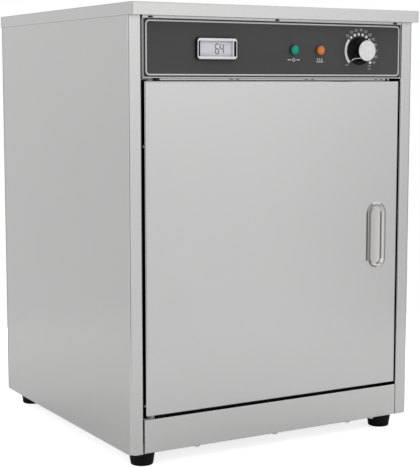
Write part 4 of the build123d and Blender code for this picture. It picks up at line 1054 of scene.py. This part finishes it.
@dataclass
class ThermostatKnob(SubAssembly):
    """Flared knob with a bright disc in its face and a raised line down its side."""

    body: str = "knob"
    line_angle: float = 224.0
    line_width: float = 1.3
    line_rise: float = 0.22
    line_sink: float = 0.15
    disc_inset: float = 0.4
    disc_play: float = 0.05
    disc_edge: Stops = ((0.05, 0.4), (0.2, 0.1), (0.5, 0.0), (1.1, 0.0), (1.25, 0.12), (1.5, 0.12))
    lip: float = 0.6
    axis_hole: float = 1.0
    shaft_hole: float = 3.1
    hollow: float = 12.5
    hollow_depth: float = 5.0
    skirt_ease: float = 0.3
    skirt_height: float = 1.6
    skirt_edge: float = 0.4
    waist: float = 6.2
    neck: float = 0.7
    taper: Stops = ((0.35, 0.5), (0.05, 0.5), (-0.1, 0.15), (-0.35, 0.0))

    def build(self) -> None:
        """Turn the body and disc, and lay the line along the body's profile."""
        shell, disc = Span.of("knob_body"), Span.of("knob_cap")
        place, height = shell.seat(), shell.size.y
        face, seat, top = disc.size.x / 2 - self.disc_inset, height - self.lip, shell.high.y - disc.low.y
        profile = self.section(shell.size.x / 2, face + self.lip, height)
        depth = self.hollow_depth
        inside = [(self.shaft_hole, depth), (self.hollow, depth), (self.hollow, 0.0)]
        rim = [(face, height), (face, seat), (self.axis_hole, seat)]
        body = Form().turn(inside + profile + rim, steps=96)
        self.add("knob_shell", body, place, "black_plastic", BLACK_GLOSS, "knob_body", sharp=28.0)
        edge = [(face - inset, top - drop) for inset, drop in self.disc_edge]
        edge = [(self.axis_hole, seat), (face - self.disc_play, seat), *edge, (self.axis_hole, edge[-1][1])]
        self.add("knob_disc", Form().turn(edge, steps=96), place, "knob_aluminium", KNOB_SILVER, "knob_cap")
        self.add("knob_line", self.line(profile), place, "pointer_white", POINTER_INK, "knob_pointer")
        self.dress(SCREW_STEEL, "thermostat_shaft")

    def section(self, skirt: float, front: float, height: float) -> list[Point]:
        """The body's outer section, from the skirt's back edge to its front rim.

        Args:
            skirt: Radius of the skirt.
            front: Radius of the front.
            height: Height of the body.

        Returns:
            Points as (radius, height).
        """
        ease, low, narrow = self.skirt_ease, self.skirt_height, front + self.neck
        foot = [(skirt - ease, 0.0), (skirt, ease), (skirt, low - self.skirt_edge), (skirt - ease, low)]
        flare = [(skirt - ease + (narrow - skirt + ease) * y, low + (self.waist - low) * (1 - x))
                 for x, y in arc(1.0, 9, 90, steps=10)]
        (shoulder, middle), *edge = self.taper
        side = [(narrow - shoulder, self.waist + (height - self.waist) * middle)]
        return foot + flare + side + [(front + out, height - drop) for out, drop in edge]

    def line(self, profile: Sequence[Point]) -> Form:
        """A raised line that follows the body's section at one angle.

        Args:
            profile: The section, as (radius, height).

        Returns:
            The line.
        """
        out = Vector((*on_circle(1.0, self.line_angle), 0))
        side = Vector((-out.y, out.x, 0)) * self.line_width / 2
        rings = []
        for radius, height in profile[2:-1]:
            lift = Vector((0, 0, height))
            base, top = out * (radius - self.line_sink) + lift, out * (radius + self.line_rise) + lift
            rings.append([base - side, base + side, top + side, top - side])
        return Form().loft(rings)


@dataclass
class DoorLeaf(SubAssembly):
    """The door's finishes, its pressed flush pull and its seal."""

    body: str = "door"
    flank: float = 34.0
    crest: float = 1.1
    draft: float = 35.0
    fillet: float = 7.0
    depth: float = 3.6
    sheet: float = 0.7
    lean: float = 0.9
    seal_width: float = 8.0
    seal_corner: float = 6.0
    seal_half: Stops = ((0.5, 0.0), (0.5, 0.18), (0.38, 0.30), (0.30, 0.62), (0.16, 0.92))

    def build(self) -> None:
        """Dress the leaf and make the pull and the seal."""
        self.dress(DOOR_STEEL, "door_skin", "door_inner_panel")
        self.dress(WOOL, "door_insulation")
        self.dress(SCREW_STEEL, "door_rivets")
        self.dress(NYLON, "door_bushes")
        self.dress(STRIKE_PLATE, "catch_strike")
        self.pull()
        self.seal()

    def pull(self) -> None:
        """The flush pull: one pressed cup with a round bead, drafted walls and a flat floor."""
        cup, skin = Span.of("door_pull"), Span.of("door_skin").low.y
        half, straight = cup.size.x / 2, (cup.size.z - cup.size.x) / 2
        face = self.pull_section(skin - cup.low.y)
        back = [(inset, height - self.sheet) for inset, height in reversed(face) if height < 0]
        floor = max(inset for inset, _ in face)
        rings = [at_depth(self.slot(half - inset, straight, self.lean * (inset / floor) ** 2), depth)
                 for inset, depth in back + face]
        place = Facing.FRONT.at(cup.middle.x, skin, cup.middle.z)
        self.add("flush_pull", Form().loft(rings), place, "pull_steel", PULL_STEEL, "door_pull", sharp=60.0)

    def slot(self, radius: float, straight: float, shift: float) -> list[Point]:
        """An upright slot outline with round ends, moved sideways."""
        return arc(radius, 0, 180, 25, (shift, straight)) + arc(radius, 180, 360, 25, (shift, -straight))

    def pull_section(self, proud: float) -> list[Point]:
        """Section of the pull's face as (inset from its outline, height over the door's face).

        Args:
            proud: How far the rim stands over the door.

        Returns:
            Points from the rim's outer edge to the edge of the flat floor.
        """
        crest = arc(self.crest, 90 + self.flank, self.draft, 10, (0.0, proud - self.crest))
        across = crest[0][1] / math.tan(math.radians(self.flank)) - crest[0][0]
        rim = [(0.0, 0.0)] + [(inset + across, height) for inset, height in crest]
        fillet = arc(self.fillet, 180 + self.draft, 270, 9, (0.0, self.fillet - self.depth))
        fall = rim[-1][1] - fillet[0][1]
        shift = rim[-1][0] + fall * math.tan(math.radians(self.draft)) - fillet[0][0]
        return rim + [(inset + shift, height) for inset, height in fillet]

    def seal(self) -> None:
        """The silicone seal: a bulb on a flat foot, mitred round the door's inner face."""
        box, lane = Span.of("door_gasket"), self.seal_width
        wide, thick, high = box.size
        outline = rounded_outline(wide - lane, high - lane, self.seal_corner)
        left = [(-side * lane, rise * thick) for side, rise in self.seal_half]
        right = [(-side, rise) for side, rise in reversed(left)]
        form = Form().sweep(at_depth(outline, 0), [*left, (0.0, thick), *right], closed=True)
        place = Facing.BACK.at(box.middle.x, box.low.y, box.middle.z)
        self.add("door_seal", form, place, "seal_silicone", SEAL_SILICONE, "door_gasket", sharp=50.0)


@dataclass
class Racks(SubAssembly):
    """The two chromed wire racks."""

    frame_radius: float = 3.0
    wire_radius: float = 1.5
    wire_end: float = 0.6
    wire_ease: float = 0.675
    pitch: float = 24.0
    corner: float = 14.0
    sink: float = 0.4

    def build(self) -> None:
        """Bend and weld both racks in place of their CAD nodes."""
        for level in ("lower", "upper"):
            node = f"wire_shelf_{level}"
            box = Span.of(node)
            self.add(f"rack_{level}", self.rack(*box.size.xy), box.base(), "rack_chrome", RACK_CHROME, node,
                     sharp=60.0)

    def rack(self, wide: float, deep: float) -> Form:
        """A bent frame with wires from front to back over it and one stay across under them.

        Args:
            wide: Overall width.
            deep: Overall depth.

        Returns:
            The rack, standing on its local XY plane.
        """
        tube, wire = self.frame_radius, self.wire_radius
        outline = rounded_outline(wide - 2 * tube, deep - 2 * tube, self.corner, 10)
        form = Form().sweep(at_depth(outline, tube), circle(tube, steps=20), closed=True)
        level = 2 * tube + wire - self.sink
        across, reach = wide / 2 - tube, deep / 2 - tube
        count = int(across / self.pitch)
        for step in range(-count, count + 1):
            self.wire(form, 2 * reach, Facing.BACK.at(step * self.pitch, -reach, level))
        self.wire(form, 2 * across, Facing.RIGHT.at(-across, 0, level - 2 * wire + self.sink))
        return form

    def wire(self, form: Form, length: float, stand: Matrix) -> None:
        """Add one straight wire with eased ends.

        Args:
            form: The form that takes it.
            length: Its length.
            stand: Its place. It runs along Z.
        """
        radius, end = self.wire_radius, self.wire_radius * self.wire_end
        ease = self.wire_ease
        form.turn([(end, 0), (radius, ease), (radius, length - ease), (end, length)], steps=12, stand=stand)


@dataclass
class Heater(SubAssembly):
    """The sheathed element: one tube in three loops, with collars and studs on its cold tails."""

    radius: float = 4.0
    bend: float = 30.0
    back_gap: float = 34.0
    collar_radius: float = 4.32
    collar_length: float = 4.0
    nut_radius: float = 2.4
    nut_height: float = 1.2
    stud_radius: float = 1.6
    stud_tip: float = 1.28
    stud_length: float = 5.0
    stud_ease: float = 0.3

    def build(self) -> None:
        """Bend the tube and fit its ends."""
        box = Span.of("heating_element")
        half, level = box.size.x / 2 - self.radius, box.middle.z
        third, tail = half / 3, box.high.y - self.stud_length
        front, back = box.low.y + self.radius, Span.of("liner_back").low.y - self.back_gap
        corners = [(-half, tail), (-half, front), (-third, front), (-third, back), (third, back),
                   (third, front), (half, front), (half, tail)]
        form = Form().sweep(at_depth(self.bent(corners), level), circle(self.radius, steps=24))
        end = [(self.collar_radius, -self.collar_length), (self.collar_radius, 0.0), (self.nut_radius, 0.0),
               (self.nut_radius, self.nut_height), (self.stud_radius, self.nut_height),
               (self.stud_radius, self.stud_length - self.stud_ease), (self.stud_tip, self.stud_length)]
        for x in (-half, half):
            form.turn(end, steps=24, stand=Facing.BACK.at(x, tail, level))
        self.add("element_tube", form, Facing.UP.at(0, 0, 0), "element_sheath", SHEATH_STEEL,
                 "heating_element", sharp=40.0)

    def bent(self, corners: Sequence[Point]) -> list[Point]:
        """Round each inner corner of a route with the tube's bend.

        Args:
            corners: The route's ends and sharp corners.

        Returns:
            Points of the bent route.
        """
        points = [Vector(corners[0])]
        for before, corner, after in zip(corners, corners[1:], corners[2:]):
            at = Vector(corner)
            come, leave = (Vector(before) - at).normalized(), (Vector(after) - at).normalized()
            centre = at + (come + leave) * self.bend
            points += [centre - leave * x - come * y for x, y in arc(self.bend, 0, 90, steps=13)]
        return points + [Vector(corners[-1])]


@dataclass
class Feet(SubAssembly):
    """Four tapered rubber feet, their sections as (radius, height), the crown's from the top down."""

    screw: float = 2.65
    bore: float = 6.0
    bore_depth: float = 10.0
    bore_ease: float = 0.6
    tread: Stops = ((9.2, 0.0), (9.6, 0.7), (10.6, 0.7), (11.0, 0.0))
    sole: Stops = ((13.8, 0.0), (14.6, 0.35), (15.0, 1.2), (15.15, 2.6))
    crown: Stops = ((17.45, 3.2), (17.7, 2.6), (17.8, 2.2), (17.8, 0.4), (17.4, 0.0))

    def build(self) -> None:
        """Turn one foot in place of each CAD foot, with a tread ring and a counterbore for the screw."""
        for corner in ("front_left", "front_right", "rear_left", "rear_right"):
            node = f"foot_{corner}"
            box = Span.of(node)
            height = box.size.z
            hole = [(self.screw, height), (self.screw, self.bore_depth), (self.bore, self.bore_depth),
                    (self.bore, self.bore_ease), (self.bore + self.bore_ease, 0.0)]
            crown = [(radius, height - drop) for radius, drop in self.crown]
            profile = [*hole, *self.tread, *self.sole, *crown]
            form = Form().turn(profile, steps=64, ends=Ends.LOOPED)
            self.add(f"rubber_{node}", form, box.base(), "foot_rubber", FOOT_RUBBER, node,
                     sharp=40.0)


@dataclass
class Studio:
    """Camera, lamps, world and floor.

    The room that shines in the steel is given as (share of a turn, brightness) stops for its lower
    walls, upper walls and ceiling, and by the heights between which one goes over into the next.
    """

    place: Triple = (-941.17, -1449.29, 499.62)
    pitch: float = 83.308
    yaw: float = -29.951
    lens: float = 98.91
    sensor: float = 36.0
    clip: Point = (0.05, 50.0)
    lamps: tuple[tuple[str, Triple, float, float], ...] = (
        ("key", (2300.0, -1700.0, 2500.0), 3000.0, 26.0),
        ("fill", (-2100.0, -1700.0, 1800.0), 2400.0, 11.0),
        ("top", (100.0, 100.0, 2600.0), 2600.0, 16.0))
    aim: Triple = (0.0, 0.0, 300.0)
    soft_light: float = 0.74
    floor_half: float = 800.0
    floor_depth: float = 20.0
    floor_tones: Stops = ((0.3, 0.79), (0.7, 0.81))
    floor_glow: tuple[tuple[str, float], ...] = (("Camera", 0.75), ("Transmission", 0.75), ("Glossy", 0.07))
    low_wall: Stops = (
        (0.0, 1.08), (0.07, 1.00), (0.115, 0.46), (0.14, 0.19), (0.19, 0.18), (0.24, 0.92), (0.26, 1.05),
        (0.317, 0.99), (0.328, 0.88), (0.340, 1.04), (0.350, 0.90), (0.365, 0.76), (0.405, 0.26),
        (0.47, 0.30), (0.52, 0.48), (0.60, 0.60), (0.68, 0.66), (0.79, 0.80), (0.84, 0.79), (0.90, 0.62),
        (0.95, 0.98), (1.0, 1.08))
    high_wall: Stops = (
        (0.0, 1.14), (0.07, 1.06), (0.115, 0.50), (0.14, 0.23), (0.19, 0.22), (0.24, 1.12), (0.26, 1.42),
        (0.32, 1.36), (0.36, 1.14), (0.41, 0.32), (0.47, 0.36), (0.52, 0.54), (0.60, 0.66), (0.68, 0.70),
        (0.79, 0.86), (0.84, 0.87), (0.90, 0.66), (0.95, 1.02), (1.0, 1.14))
    ceiling: Stops = ((0.0, 0.62), (0.28, 0.40), (0.36, 0.16), (0.48, 0.20), (0.75, 0.60), (1.0, 0.62))
    wall_rise: Point = (-0.08, 0.08)
    ceiling_rise: Point = (0.13, 0.28)

    def build(self) -> None:
        """Set the stage and the view."""
        self.camera()
        self.world()
        self.floor()
        for lamp in self.lamps:
            self.lamp(*lamp)
        bpy.context.scene.view_settings.view_transform = "Standard"

    def put(self, name: str, data: bpy.types.ID) -> bpy.types.Object:
        """Put an object into the scene.

        Args:
            name: Its name.
            data: Its mesh, lamp or camera.

        Returns:
            The object.
        """
        thing = bpy.data.objects.new(name, data)
        bpy.context.scene.collection.objects.link(thing)
        return thing

    def camera(self) -> None:
        """The camera, as it was fitted to the photograph, its place measured from the posts' front."""
        data = bpy.data.cameras.new("camera")
        data.lens, data.sensor_width = self.lens, self.sensor
        data.clip_start, data.clip_end = self.clip
        camera = self.put("camera", data)
        camera.location = (Vector(self.place) + Vector((0, Span.of("side_panel_left").low.y, 0))) * MM
        camera.rotation_euler = (math.radians(self.pitch), 0.0, math.radians(self.yaw))
        bpy.context.scene.camera = camera

    def lamp(self, name: str, place: Triple, width: float, power: float) -> None:
        """A square soft lamp that looks at the cabinet.

        Args:
            name: Its name.
            place: Where it hangs.
            width: Its side length.
            power: Its output in watts.
        """
        data = bpy.data.lights.new(name, "AREA")
        data.shape, data.size, data.energy = "SQUARE", width * MM, power
        lamp = self.put(name, data)
        lamp.location = Vector(place) * MM
        lamp.rotation_euler = (Vector(self.aim) - Vector(place)).to_track_quat("-Z", "Y").to_euler()

    def world(self) -> None:
        """White for the camera, plain soft light for the object, a shaded room for its reflections."""
        world = bpy.data.worlds.new("studio")
        bpy.context.scene.world = world
        board = NodeBoard(world)
        place = board.node("TexCoord").outputs["Generated"]
        around = board.node("TexGradient", place)
        around.gradient_type = "RADIAL"
        height = board.node("SeparateXYZ", place).outputs["Z"]

        def wall(stops: Stops) -> Socket:
            """The grey of a wall all round."""
            return board.ramp(around.outputs["Fac"], [(at, (shade,) * 3) for at, shade in stops], ease=True)

        level = wall(self.low_wall)
        for stops, rise in ((self.high_wall, self.wall_rise), (self.ceiling, self.ceiling_rise)):
            level = board.blend(board.node("MapRange", height, *rise), level, wall(stops), coloured=True)
        white, path = (1.0, 1.0, 1.0, 1.0), board.node("LightPath").outputs
        soft, room = board.node("Background", white, self.soft_light), board.node("Background", level, 1.0)
        lit = board.node("MixShader", path["Is Glossy Ray"], soft, room)
        seen = board.node("Math", path["Is Camera Ray"], path["Is Transmission Ray"])
        seen.operation = "MAXIMUM"
        board.node("OutputWorld", board.node("MixShader", seen, lit, board.node("Background", white, 1.0)))

    def floor(self) -> None:
        """A plain pale floor that reads white and keeps a soft shadow."""
        half, material = self.floor_half, bpy.data.materials.new("floor_paper")
        outline = [(-half, -half), (half, -half), (half, half), (-half, half)]
        floor = self.put("floor", Form().prism(outline, -self.floor_depth, 0.0).mesh("floor"))
        floor.data.materials.append(material)
        board = NodeBoard(material)
        tones = [(at, (shade,) * 3) for at, shade in self.floor_tones]
        paper = board.ramp(board.texture(Texture(300.0, 3.0)), tones)
        surface = board.node("BsdfPrincipled", Base_Color=paper, Roughness=0.9, Specular_IOR_Level=0.0)
        path = board.node("LightPath").outputs
        for ray, strength in self.floor_glow:
            lit = board.node("AddShader", surface, board.node("Emission", Strength=strength))
            surface = board.node("MixShader", path[f"Is {ray} Ray"], surface, lit)
        board.node("OutputMaterial", surface)


def main() -> None:
    """Build the sub-assemblies in order, then the studio."""
    logging.basicConfig(level=logging.INFO, format="%(name)s: %(message)s")
    for part in (Carcass(), Console(), Thermometer(), PilotLamps(), ThermostatKnob(), DoorLeaf(), Racks(),
                 Heater(), Feet()):
        log.info("building %s", type(part).__name__)
        part.build()
    Studio().build()


if __name__ == "__main__":
    main()
